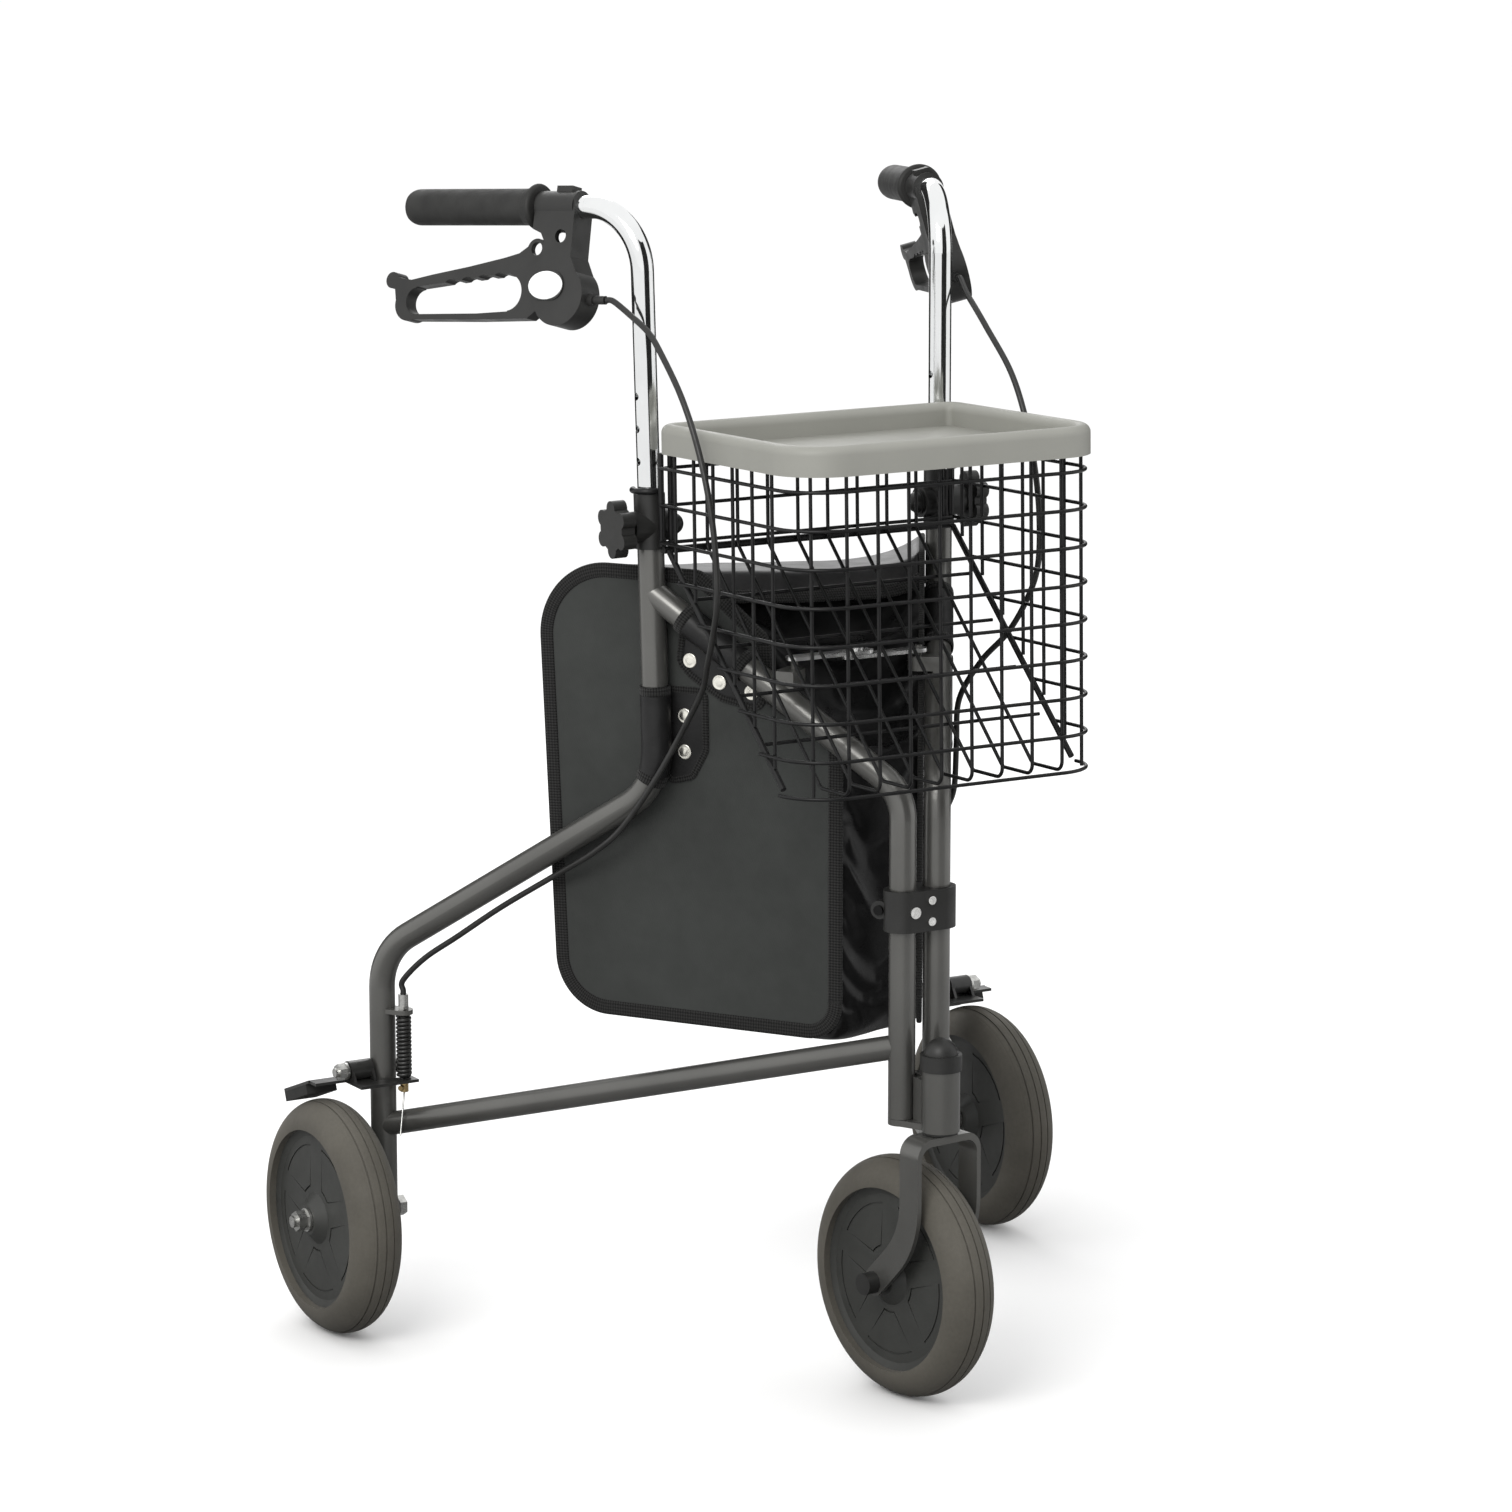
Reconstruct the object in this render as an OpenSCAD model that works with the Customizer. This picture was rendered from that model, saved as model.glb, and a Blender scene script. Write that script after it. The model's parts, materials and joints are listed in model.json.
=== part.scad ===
// Three wheel rollator: two hinged side frames, swivelling front wheel, loop brakes, basket, tray and bag.
// Millimetres, +Z up, the user walks towards -Y. Everything is drawn for the right side and mirrored.

/* [Frame] */
// Half of the angle between the open side frames
open_angle = 32.6; // [29:0.1:34]
// Distance between the axes of the two front tubes
tube_spacing = 32.5; // [31:0.5:36]
// Outside diameter of the frame tubes
tube_d = 22; // [21.8:0.1:23]
// Wall of the frame tubes
tube_wall = 1.2; // [1:0.05:1.2]
// Outside diameter of the lower tube
lower_tube_d = 20; // [16:0.5:22]
// Front hinge to the upright's bend, along the frame
upright_reach = 221; // [215:1:230]
// Backward lean of the upright
upright_lean = 1.7; // [0.5:0.1:2.5]
// Height of the bend below the upright
upright_bend_z = 489; // [475:1:495]
// Height of the upright's open end
upright_top_z = 728; // [720:1:735]
// Front hinge to the rear leg, along the frame
leg_reach = 485; // [465:1:505]
// Height of the bend above the rear leg
leg_bend_z = 324; // [315:1:335]
// Height of the rear leg's lower end
leg_bottom_z = 84; // [80:1:86]
// Centre line radius of the bends in the upright and leg tube
frame_bend_r = 55; // [45:1:60]
// Height of the front tube's lower end
front_tube_z = 237; // [236:1:240]
// Height of the bend above the front tube
front_bend_z = 504; // [495:1:510]
// Centre line radius of the bend in the front tube
front_bend_r = 40; // [35:1:50]
// Height where the diagonal meets the upright's axis
diagonal_top_z = 650; // [640:1:655]
// Height of the lower tube at the front tube
lower_front_z = 296; // [290:1:300]
// Height of the lower tube at the rear leg
lower_rear_z = 173; // [168:1:178]

/* [Head and fork] */
// Front tubes to the head tube's axis, towards the front
head_offset = 33.3; // [32:0.1:38]
// Outside diameter of the head tube
head_d = 31; // [30:0.5:33]
// Bore of the head tube
head_bore = 26; // [25:0.5:27]
// Height of the head tube's lower end
head_bottom_z = 231; // [229:0.5:231]
// Height of the head tube's upper end
head_top_z = 281.5; // [275:0.5:285]
// Diameter of the fork's stem
stem_d = 20; // [18:0.5:21]
// Distance from the swivel axis back to the front axle
caster_trail = 44.4; // [40:0.1:48]
// Swivel of the front wheel as it stands
caster_angle = 7.35; // [0:0.05:12]
// Space between the fork's legs
fork_gap = 58; // [54:1:64]
// Thickness of the fork's legs
fork_wall = 4; // [3:0.5:5]
// Width of the fork's legs seen from the side
fork_leg_w = 23; // [20:1:26]
// Height of the upper hinge block's middle
hinge_block_z = 408.5; // [395:0.5:420]
// Height of the upper hinge block
hinge_block_h = 33.5; // [28:0.5:38]

/* [Wheels] */
// Outside diameter of all three wheels
wheel_d = 200; // [196:1:202]
// Radius of the tyre's round section
tyre_r = 23; // [20:0.5:24]
// Diameter of the rim under the tyre
rim_d = 152; // [146:1:154]
// Half length of the hub
hub_half = 24; // [20:0.5:26]
// Diameter of the axles
axle_d = 10; // [8:0.5:11]
// Rear leg's axis to the middle of its wheel
wheel_offset = 49; // [45:0.5:54]

/* [Handles] */
// Outside diameter of the handle tube
handle_d = 19; // [18.4:0.1:19]
// Wall of the handle tube
handle_wall = 1.5; // [1:0.1:2]
// Height of the handle tube's bend corner
handle_z = 962; // [945:1:985]
// Length of handle tube inside the upright
handle_insert = 150; // [120:1:155]
// Bend radius of the handle tube
handle_bend_r = 50; // [40:1:50]
// Turn of the handles towards the middle
handle_toe = 10; // [4:0.5:11]
// Fall of the handles below square
handle_fall = 1.6; // [0:0.1:4]
// Upright to the grip's flange, along the handle
grip_start = 101.5; // [100:0.5:108]
// Length of the grip
grip_length = 135; // [120:1:140]
// Diameter of the grip
grip_d = 30; // [29:0.5:33]
// Diameter of the grip's flange
grip_flange_d = 38; // [35:0.5:42]
// Spacing of the height holes
hole_pitch = 26.5; // [16:0.5:27]
// Diameter of the height holes
hole_d = 6.4; // [6.2:0.1:8]
// Upright's open end down to the clamp bolt
clamp_drop = 24; // [20:0.5:26]
// Length of the clamp collar
collar_length = 45; // [42:1:50]
// Wall of the clamp collar
collar_wall = 1.8; // [1.5:0.1:2.5]
// Diameter of the clamp saddles
saddle_d = 26; // [22:0.5:28]
// Diameter of the clamp bolt
bolt_d = 6; // [5:0.2:6]
// Diameter across the star knob
knob_d = 47; // [40:0.5:50]
// Outward tilt of the brake levers
lever_tilt = 15; // [8:0.5:18]
// Thickness of the brake lever
lever_t = 13; // [10:0.5:14]
// Wall of the lever housing's cheeks
cheek_t = 5; // [4:0.5:6]

/* [Rear brakes] */
// Height of the brake arm's pivot
brake_pivot_z = 224; // [220:1:228]
// Diameter of the brake stud
brake_stud_d = 8; // [7:0.5:9]
// Rear leg's axis to the spring, along the frame
spring_reach = 20.7; // [20:0.1:22]
// Height of the cable lug's underside
cable_lug_z = 272; // [268:1:276]
// Mean diameter of the return spring
spring_d = 12; // [11:0.5:12.5]
// Wire of the return spring
spring_wire = 2; // [1.5:0.1:2.2]
// Curls of the return spring
spring_curls = 8; // [6:1:9]
// Space between the pad and the tyre
pad_gap = 3.3; // [3.3:0.1:5]
// Thickness of the brake pad
pad_t = 8.5; // [7:0.5:10]
// Brake cable diameter
cable_d = 5; // [4.5:0.1:5]

/* [Brace] */
// Upright's bend forward to the brace's outer pivot, along the frame
brace_reach = 116; // [111:1:126]
// Brace's outer pivot inside the frame's plane
brace_inset = 16; // [15:0.5:17]
// Height of the brace's upper link, at its underside
brace_z = 601; // [596:1:604]
// Width of the brace links
brace_w = 14; // [12:0.5:15]
// Thickness of the brace links
brace_t = 3; // [2.5:0.1:3.5]

/* [Basket and tray] */
// Width of the basket over its wires
basket_w = 283; // [278:1:288]
// Depth of the basket
basket_depth = 223; // [215:1:230]
// Height of the basket's rear bar
basket_bar_z = 687; // [682:1:690]
// Upright's axis to the basket's back wires
basket_gap = 22.5; // [22:0.5:26]
// Basket's rear bar up to its top rail
basket_rise = 97; // [92:1:100]
// Basket's rear bar down to its bottom
basket_drop = 176; // [165:1:178]
// Radius of the basket's front corners
basket_corner_r = 40; // [36:1:46]
// Spacing of the basket's wires
mesh_pitch = 30.3; // [29:0.1:32]
// Wires across the basket's front
front_wires = 8; // [7:1:8]
// Diameter of the mesh wires
wire_d = 3; // [2.6:0.1:3.2]
// Diameter of the basket's rails and hooks
rail_d = 5; // [4.5:0.1:5.5]
// Diameter of the basket's rear bar
bar_d = 6; // [5:0.1:7]
// Height of the tray's rim
tray_rim_h = 24; // [20:0.5:28]
// Width of the tray's rounded rim
tray_rim_w = 14; // [12.5:0.5:16]
// Wall of the tray
tray_wall = 2.5; // [2:0.1:3]
// Depth of the tray's well
tray_well = 19; // [14:0.5:20]

/* [Bag] */
// Front hinge to the bag's front edge, along the frame
bag_front = 65; // [60:1:75]
// Upright's bend back to the bag's rear edge, along the frame
bag_rear = 111; // [94:1:119]
// Height of the bag's bottom
bag_bottom_z = 291; // [285:1:300]
// Height of the bag's top
bag_top_z = 662; // [655:1:668]
// Frame plane to the bag's side panel
bag_inset = 13.6; // [13:0.1:15]
// Radius of the bag's upper rear corner
bag_top_r = 75; // [60:1:85]
// Radius of the bag's lower rear corner
bag_bottom_r = 50; // [40:1:60]
// Thickness of the bag's flaps
flap_t = 1.8; // [1.4:0.1:2.2]
// Diameter of the press studs
stud_d = 9; // [8:0.5:11]

/* [Hidden] */
$fn = 64;
// Clearance of a turning fit, at the radius
run = 0.05;
// Gap between fixed pieces that touch
touch = 0.02;
// Gap between pieces that move past each other
clear = 0.3;
// Gap at a seat on another body
seat = 0.3;
front_reach = -head_offset + (caster_trail - wheel_d / 2 + tyre_r) * cos(caster_angle) - tyre_r;
rear_reach = leg_reach * cos(open_angle) + wheel_d / 2;
pivot_y = -(front_reach + rear_reach) / 2;
leg_x = tube_spacing / 2 + leg_reach * sin(open_angle);
leg_y = pivot_y + leg_reach * cos(open_angle);
axle_z = wheel_d / 2;
tube_r = tube_d / 2;
tube_bore = tube_d - 2 * tube_wall;
upright_l = (upright_top_z - upright_bend_z) / cos(upright_lean);
clamp_l = upright_l - clamp_drop;
collar_r = tube_r + touch + collar_wall;
collar_top = 3;
saddle_out = collar_r + 6.5;
handle_l = (handle_z - upright_bend_z) / cos(upright_lean);
handle_end = grip_start + grip_length - 6;
diagonal_angle = atan2(diagonal_top_z - front_bend_z, upright_s(diagonal_top_z));
leg_path = [
  [upright_s(upright_top_z), upright_top_z], [upright_reach, upright_bend_z],
  [leg_reach, leg_bend_z], [leg_reach, leg_bottom_z]
];
front_path = [[0, front_tube_z], [0, front_bend_z], [upright_s(diagonal_top_z), diagonal_top_z]];
handle_path = [
  [0, upright_l - handle_insert], [0, handle_l],
  [handle_end * cos(handle_fall), handle_l - handle_end * sin(handle_fall)]
];
diagonal_l = norm([upright_s(diagonal_top_z), diagonal_top_z - front_bend_z]);
brace_s = upright_reach - brace_reach;
lug_t = 4;
arm_plate_z = brake_pivot_z - 8;
arm_t = 2.5;
pad_angle = 20.5;
pad_w = 28;
pad_front = -26;
pad_rear = 24;
spring_bottom = arm_plate_z + touch;
spring_top = cable_lug_z - touch;
basket_tilt = upright_lean * cos(open_angle);
basket_y = pivot_y + upright_s(basket_bar_z) * cos(open_angle) - basket_gap;
hoop_x = basket_w / 2 - wire_d / 2;
hoop_front = basket_depth - wire_d / 2;
rail_x = hoop_x - wire_d / 2 - rail_d / 2 - touch;
rail_front = hoop_front - hoop_x + rail_x;
rail_back_r = 10.5;
rail_low = basket_rise - rail_d / 2 - touch;
wire_x = hoop_x - wire_d - touch;
wire_front = hoop_front - wire_d - touch;
back_wire = wire_d + touch;
bar_y = -back_wire + wire_d / 2 + bar_d / 2 + touch;
slope_start = rail_d / 2;
slope_run = hoop_front - basket_corner_r;
slope_angle = atan2(basket_drop, slope_run);
slope_end = slope_run - 2 * wire_d;
floor_z = basket_drop - wire_d - touch;
floor_angle = atan2(floor_z, slope_end - back_wire);
rows = floor((basket_rise + basket_drop - mesh_pitch / 2) / mesh_pitch);
hook_r = basket_gap - wire_d / 2 - 1.5 * rail_d - 3 * touch;
hook_x = tube_spacing / 2 + upright_s(upright_top_z) * sin(open_angle);
bar_half = max(rail_x + rail_d / 2, hook_x - 0.6);
rim_r = tray_rim_w / 2;
tray_x = hoop_x + wire_d / 2 + clear + tray_wall - rim_r;
tray_front = hoop_front + wire_d / 2 + clear + tray_wall - rim_r;
tray_front_r = basket_corner_r - hoop_x + tray_x;
tray_back_r = rail_back_r - rail_x + tray_x;
tray_back = 1;
tray_z = basket_rise + rail_d / 2 + seat + 0.7 + tray_wall - tray_rim_h;
lever_pivot = [78.6, -66.3];
ferrule_z = -76;
// Route of the right brake cable along, outside and above the right frame
cable_route = [
  lever_point([24.4, 0, ferrule_z]), lever_point([17, 0, ferrule_z - 0.8]),
  [upright_reach + 12, 22, 877], [upright_reach - 8, 30, 865.5], [upright_reach - 23.5, 39, 851.5],
  [upright_reach - 52, 58, 820], [upright_reach - 72, 70, 785], [upright_reach - 86.5, 78, 745],
  [upright_reach - 94.5, 82, 705], [upright_reach - 96, 81, 665], [upright_reach - 88, 72, 635],
  [upright_reach - 75, 57, 606], [upright_reach - 59.5, 36, 580], [upright_reach - 33, 18, upright_bend_z + 54],
  [upright_reach - 7, 16, upright_bend_z + 11],
  [upright_reach + 25, 14.5, upright_bend_z - 33], [upright_reach + 55, 8, upright_bend_z - 58],
  under_slope(0.38, 23), under_slope(0.56, 23), under_slope(0.72, 26), under_slope(0.84, 28),
  [leg_reach - spring_reach, 0, cable_lug_z + 29], [leg_reach - spring_reach, 0, cable_lug_z + 20],
  [leg_reach - spring_reach, 0, cable_lug_z + lug_t + 9 + seat]
];

// Distance of the upright's axis from the front hinge at a height
function upright_s(z) = upright_reach + (z - upright_bend_z) * tan(upright_lean);

// A place on the diagonal's inner side, ahead of the upright's bend and above the diagonal's axis
function diagonal_point(s, z) = [
  upright_reach - s, front_bend_z + (upright_reach - s) * tan(diagonal_angle) + z
];

// Points of the right frame: under the slanted tube, and at a place in the brake lever's frame
function under_slope(f, drop) = [
  upright_reach + f * (leg_reach - upright_reach), 0, upright_bend_z + f * (leg_bend_z - upright_bend_z) - drop
];
function turn_x(v, a) = [v[0], v[1] * cos(a) - v[2] * sin(a), v[1] * sin(a) + v[2] * cos(a)];
function turn_y(v, a) = [v[0] * cos(a) + v[2] * sin(a), v[1], -v[0] * sin(a) + v[2] * cos(a)];
function turn_z(v, a) = [v[0] * cos(a) - v[1] * sin(a), v[0] * sin(a) + v[1] * cos(a), v[2]];
function lever_point(v) = [upright_reach, 0, upright_bend_z] + turn_y(
  turn_z(turn_y(turn_x(v, lever_tilt), handle_fall), -handle_toe) + [0, 0, handle_l], upright_lean
);

function unit(v) = v / norm(v);
function seg_angle(p, q) = atan2(q[1] - p[1], q[0] - p[0]);
function half_turn(a) = a > 180 ? a - 360 : a < -180 ? a + 360 : a;
function turn_at(p, i) = half_turn(seg_angle(p[i], p[i + 1]) - seg_angle(p[i - 1], p[i]));
function setback(p, i, r) = i == 0 || i == len(p) - 1 ? 0 : r * tan(abs(turn_at(p, i)) / 2);
// Points along a smooth curve through the given ones
function curve_point(a, b, c, d, t) =
  0.5 * (2 * b + (c - a) * t + (2 * a - 5 * b + 4 * c - d) * t * t + (3 * b - a - 3 * c + d) * t * t * t);
function smooth(p, steps) = [
  for (i = [0:len(p) - 2], k = [0:steps - 1])
    curve_point(p[max(i - 1, 0)], p[i], p[i + 1], p[min(i + 2, len(p) - 1)], k / steps),
  p[len(p) - 1]
];
function tangent(p, i) = unit(p[min(i + 1, len(p) - 1)] - p[max(i - 1, 0)]);
function across(u, t) = unit(u - (u * t) * t);
function sides_of(p, u) = [
  for (
    i = 0, v = across(u, tangent(p, 0));
    i < len(p);
    i = i + 1, v = across(v, tangent(p, min(i, len(p) - 1)))
  ) v
];

// Return spring: straight ends and a helix between them
function coil_point(a) = [
  spring_d / 2 * cos(a), spring_d / 2 * sin(a),
  2 * spring_wire + (spring_top - spring_bottom - 4 * spring_wire) * a / (360 * spring_curls)
];
function spring_points() = concat(
  [[spring_d / 2, 0, 0], [spring_d / 2, 0, spring_wire]],
  [for (k = [0:8 * spring_curls]) coil_point(45 * k)],
  [[spring_d / 2, 0, spring_top - spring_bottom - spring_wire], [spring_d / 2, 0, spring_top - spring_bottom]]
);
spring_gap = min([
  for (i = [0:8 * spring_curls - 6], j = [i + 6:min(i + 12, 8 * spring_curls)])
    norm(coil_point(45 * i) - coil_point(45 * j))
]) - spring_wire;
echo(spring_gap_to_itself = spring_gap);

// Places
module sided(left) {
  if (left) mirror([1, 0, 0]) children();
  else children();
}
module on_frame() {
  translate([-tube_spacing / 2, pivot_y, 0]) rotate([0, 0, 90 + open_angle]) children();
}
module on_upright() {
  on_frame() translate([upright_reach, 0, upright_bend_z]) rotate([0, upright_lean, 0]) children();
}
module on_clamp() {
  on_upright() translate([0, 0, clamp_l]) rotate([0, 0, 90 - open_angle]) children();
}
module on_handle() {
  on_upright() translate([0, 0, handle_l]) rotate([0, 0, -handle_toe]) rotate([0, handle_fall, 0]) children();
}
module on_lever() {
  on_handle() rotate([lever_tilt, 0, 0]) children();
}
module on_leg() {
  translate([-leg_x, leg_y, 0]) children();
}
module on_pad() {
  on_leg() translate([-wheel_offset, 0, axle_z]) rotate([-pad_angle, 0, 0]) children();
}
module on_spring() {
  on_frame() translate([leg_reach - spring_reach, 0, 0]) children();
}
module on_fork() {
  translate([0, pivot_y - head_offset, 0]) rotate([0, 0, caster_angle]) children();
}
module on_basket() {
  translate([0, basket_y, basket_bar_z]) rotate([-basket_tilt, 0, 0]) children();
}

// Shapes
module rod_x(d, from, to) {
  translate([from, 0, 0]) rotate([0, 90, 0]) cylinder(d = d, h = to - from);
}
module rod_y(d, from, to) {
  translate([0, to, 0]) rotate([90, 0, 0]) cylinder(d = d, h = to - from);
}
module ring(d, wall) {
  difference() {
    circle(d = d);
    if (wall > 0) circle(d = d - 2 * wall);
  }
}
// Straight runs and bends of a tube along points in the XZ plane, or of a rod where the wall is 0
module bent_tube(p, r, d, wall = 0) {
  last = len(p) - 1;
  rotate([90, 0, 0]) {
    for (i = [0:last - 1])
      translate([p[i][0], p[i][1], 0]) rotate([0, 0, seg_angle(p[i], p[i + 1])])
        translate([setback(p, i, r) + (i > 0 ? touch : 0), 0, 0]) rotate([0, 90, 0])
          linear_extrude(
            norm(p[i + 1] - p[i]) - setback(p, i, r) - setback(p, i + 1, r)
            - (i > 0 ? touch : 0) - (i < last - 1 ? touch : 0)
          ) ring(d, wall);
    if (last > 1)
      for (i = [1:last - 1])
        bend(p[i], seg_angle(p[i - 1], p[i]), turn_at(p, i), setback(p, i, r), r) ring(d, wall);
  }
}
module bend(p, a, t, s, r) {
  translate([p[0] - s * cos(a) - sign(t) * r * sin(a), p[1] - s * sin(a) + sign(t) * r * cos(a), 0])
    rotate([0, 0, t > 0 ? a - 90 : a + 90 + t])
      rotate_extrude(angle = abs(t)) translate([r, 0]) children();
}
module swept_tube(p, d, sides, u) {
  v = sides_of(p, u);
  n = len(p);
  points = [
    for (i = [0:n - 1], k = [0:sides - 1])
      p[i] + d / 2 * (cos(360 * k / sides) * across(v[i], tangent(p, i))
        + sin(360 * k / sides) * cross(tangent(p, i), across(v[i], tangent(p, i))))
  ];
  walls = [
    for (i = [0:n - 2], k = [0:sides - 1], h = [0, 1])
      h == 0
        ? [i * sides + k, (i + 1) * sides + k, i * sides + (k + 1) % sides]
        : [i * sides + (k + 1) % sides, (i + 1) * sides + k, (i + 1) * sides + (k + 1) % sides]
  ];
  ends = [
    for (k = [1:sides - 2], h = [0, 1])
      h == 0 ? [0, k, k + 1] : [(n - 1) * sides, (n - 1) * sides + k + 1, (n - 1) * sides + k]
  ];
  polyhedron(points, concat(walls, ends));
}
module round_rect(w, d, r) {
  square([w, d - 2 * r], center = true);
  square([w - 2 * r, d], center = true);
  for (x = [-1, 1], y = [-1, 1])
    translate([x * (w / 2 - r), y * (d / 2 - r)]) circle(r = r);
}
// A profile led round a rectangle with its own front and back corner radius
module around(w, d, rf, rb, gap) {
  translate([-w / 2 + rb + gap, d / 2, 0]) rotate([90, 0, 90]) linear_extrude(w - 2 * rb - 2 * gap) children();
  translate([w / 2 - rf - gap, -d / 2, 0]) rotate([90, 0, -90]) linear_extrude(w - 2 * rf - 2 * gap) children();
  for (left = [false, true])
    sided(left) {
      translate([w / 2, d / 2 - rb - gap, 0]) rotate([90, 0, 0])
        linear_extrude(d - rf - rb - 2 * gap) children();
      translate([w / 2 - rb, d / 2 - rb, 0]) rotate_extrude(angle = 90) translate([rb, 0]) children();
      translate([w / 2 - rf, -d / 2 + rf, 0]) rotate([0, 0, -90])
        rotate_extrude(angle = 90) translate([rf, 0]) children();
    }
}

// Head and caster
module head_tube() {
  color("dimgray") translate([0, pivot_y, 0]) {
    translate([0, -head_offset, head_bottom_z]) difference() {
      cylinder(d = head_d, h = head_top_z - head_bottom_z);
      translate([0, 0, -1]) cylinder(d = head_bore, h = head_top_z - head_bottom_z + 2);
    }
    difference() {
      union() {
        translate([-13, -head_offset + 2, head_bottom_z + 0.5])
          cube([26, head_offset - tube_r - 3.5, 41]);
        translate([-tube_spacing / 2 + tube_r + 1, -tube_r - 2, head_bottom_z + 0.5])
          cube([tube_spacing - tube_d - 2, 18, 41]);
        translate([0, 0, head_bottom_z + 0.5]) linear_extrude(front_tube_z - clear - head_bottom_z - 0.5) {
          for (x = [-1, 1]) translate([x * tube_spacing / 2, 0]) circle(d = tube_d);
          polygon([
            [-tube_spacing / 2 - tube_r, 0], [tube_spacing / 2 + tube_r, 0],
            [13, -head_offset + 4], [-13, -head_offset + 4]
          ]);
        }
        for (x = [-1, 1])
          translate([x * tube_spacing / 2, 0, head_bottom_z + 2]) cylinder(d = tube_bore - 2 * run, h = 20);
      }
      translate([0, -head_offset, head_bottom_z - 1]) cylinder(d = head_d + 2 * touch, h = 60);
    }
  }
}
module head_cap() {
  color("black") translate([0, pivot_y - head_offset, head_top_z + touch]) difference() {
    union() {
      cylinder(d = head_d + 3, h = 13);
      translate([0, 0, 12]) intersection() {
        sphere(r = 14);
        translate([-20, -20, 0]) cube([40, 40, 20]);
      }
    }
    translate([0, 0, -1]) cylinder(d = head_bore, h = 13);
  }
}
module fork_bushes() {
  color("black") translate([0, pivot_y - head_offset, 0]) difference() {
    union() {
      translate([0, 0, head_bottom_z]) cylinder(d = head_bore - 2 * touch, h = 12);
      translate([0, 0, head_bottom_z - 2 - touch]) cylinder(d = head_d - 3, h = 2);
      translate([0, 0, head_bottom_z - 1]) cylinder(d = head_bore - 4, h = 3);
      translate([0, 0, head_top_z - 12]) cylinder(d = head_bore - 2 * touch, h = 12);
    }
    translate([0, 0, head_bottom_z - 5]) cylinder(d = stem_d + 2 * run, h = head_top_z - head_bottom_z + 10);
  }
}
module hinge_block() {
  color("black") translate([0, pivot_y, hinge_block_z - hinge_block_h / 2]) difference() {
    union() {
      linear_extrude(hinge_block_h) {
        for (x = [-1, 1]) translate([x * tube_spacing / 2, 0]) circle(r = tube_r + 4.5);
        translate([-tube_spacing / 2, -tube_r - 4.5]) square([tube_spacing, tube_d + 9]);
      }
      for (x = [-1, 1])
        translate([x * tube_spacing / 2, 0, hinge_block_h / 2])
          rotate([0, 0, x < 0 ? 90 + open_angle : 90 - open_angle])
            translate([tube_r + 5, 0, 0]) rod_y(15, -10, 10);
    }
    for (x = [-1, 1])
      translate([x * tube_spacing / 2, 0, -1]) cylinder(r = tube_r + run, h = hinge_block_h + 2);
  }
}
module hinge_screws() {
  color("silver") translate([0, pivot_y - tube_r - 4.5 - touch, hinge_block_z]) {
    translate([-14, 0, 0]) rod_y(9.5, -1.6, 0);
    for (z = [-8.7, 8.7]) translate([1.5, 0, z]) rod_y(7, -1.6, 0);
  }
  for (x = [-1, 1])
    color("black") translate([x * tube_spacing / 2, pivot_y, hinge_block_z])
      rotate([0, 0, x < 0 ? 90 + open_angle : 90 - open_angle])
        translate([tube_r + 5, 0, 0])
          for (y = [-1, 1]) rod_y(8, y < 0 ? -12.5 : 10 + touch, y < 0 ? -10 - touch : 12.5);
}
function fork_arc(r, w, from, to, z) = [
  for (k = [0:15]) let (a = from + (to - from) * k / 15) [r - (r + w) * cos(a), z - (r + w) * sin(a)]
];
module fork_leg_profile() {
  r = 70;
  w = fork_leg_w / 2;
  z = axle_z + caster_trail - r * (1 - cos(45)) + r * sin(45);
  top = head_bottom_z - 24;
  polygon(concat(
    [[w, top], [-w, top]],
    fork_arc(r, w, 0, 45, z),
    [[caster_trail - w * cos(45), axle_z - w * sin(45)], [caster_trail + w * cos(45), axle_z + w * sin(45)]],
    fork_arc(r, -w, 45, 0, z)
  ));
  translate([caster_trail, axle_z]) circle(r = w);
}
module fork() {
  w = fork_gap / 2 + fork_wall;
  top = head_bottom_z - 2 - touch - 0.5;
  color("dimgray") on_fork() difference() {
    union() {
      translate([0, fork_leg_w / 2, 0]) rotate([90, 0, 0]) linear_extrude(fork_leg_w) difference() {
        translate([0, top - 40]) round_rect(2 * w, 80, 15);
        translate([0, top - 46]) round_rect(fork_gap, 80, 11);
        translate([-60, top - 90]) square([120, 64]);
      }
      for (x = [-w, fork_gap / 2])
        translate([x, 0, 0]) rotate([90, 0, 90]) linear_extrude(fork_wall) fork_leg_profile();
      translate([0, 0, top - 3]) cylinder(d = stem_d, h = head_top_z - top + 6);
      translate([0, 0, head_top_z + clear]) cylinder(d = stem_d + 3, h = 5);
    }
    translate([0, caster_trail, axle_z]) rod_x(axle_d + 2 * touch, -60, 60);
  }
}
module front_axle() {
  w = fork_gap / 2 + fork_wall;
  spacer = fork_gap / 2 - touch - hub_half - clear;
  color("black") on_fork() translate([0, caster_trail, axle_z]) {
    rod_x(axle_d, -w - 2, w + 2);
    for (x = [-1, 1])
      translate([x * (fork_gap / 2 - touch), 0, 0])
        rod_x(15, x < 0 ? 0 : -spacer, x < 0 ? spacer : 0);
    for (x = [-1, 1])
      translate([x * (w + touch), 0, 0]) rod_x(18, x < 0 ? -11 : 0, x < 0 ? 0 : 11);
  }
}
module petal(cut) {
  intersection() {
    difference() {
      circle(r = rim_d / 2 - 13 - cut);
      circle(r = 27 + cut);
    }
    translate([-1.6 * cut, 0]) polygon([[18 + 3 * cut, 0], [90, 54], [90, -54]]);
  }
}
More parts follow.
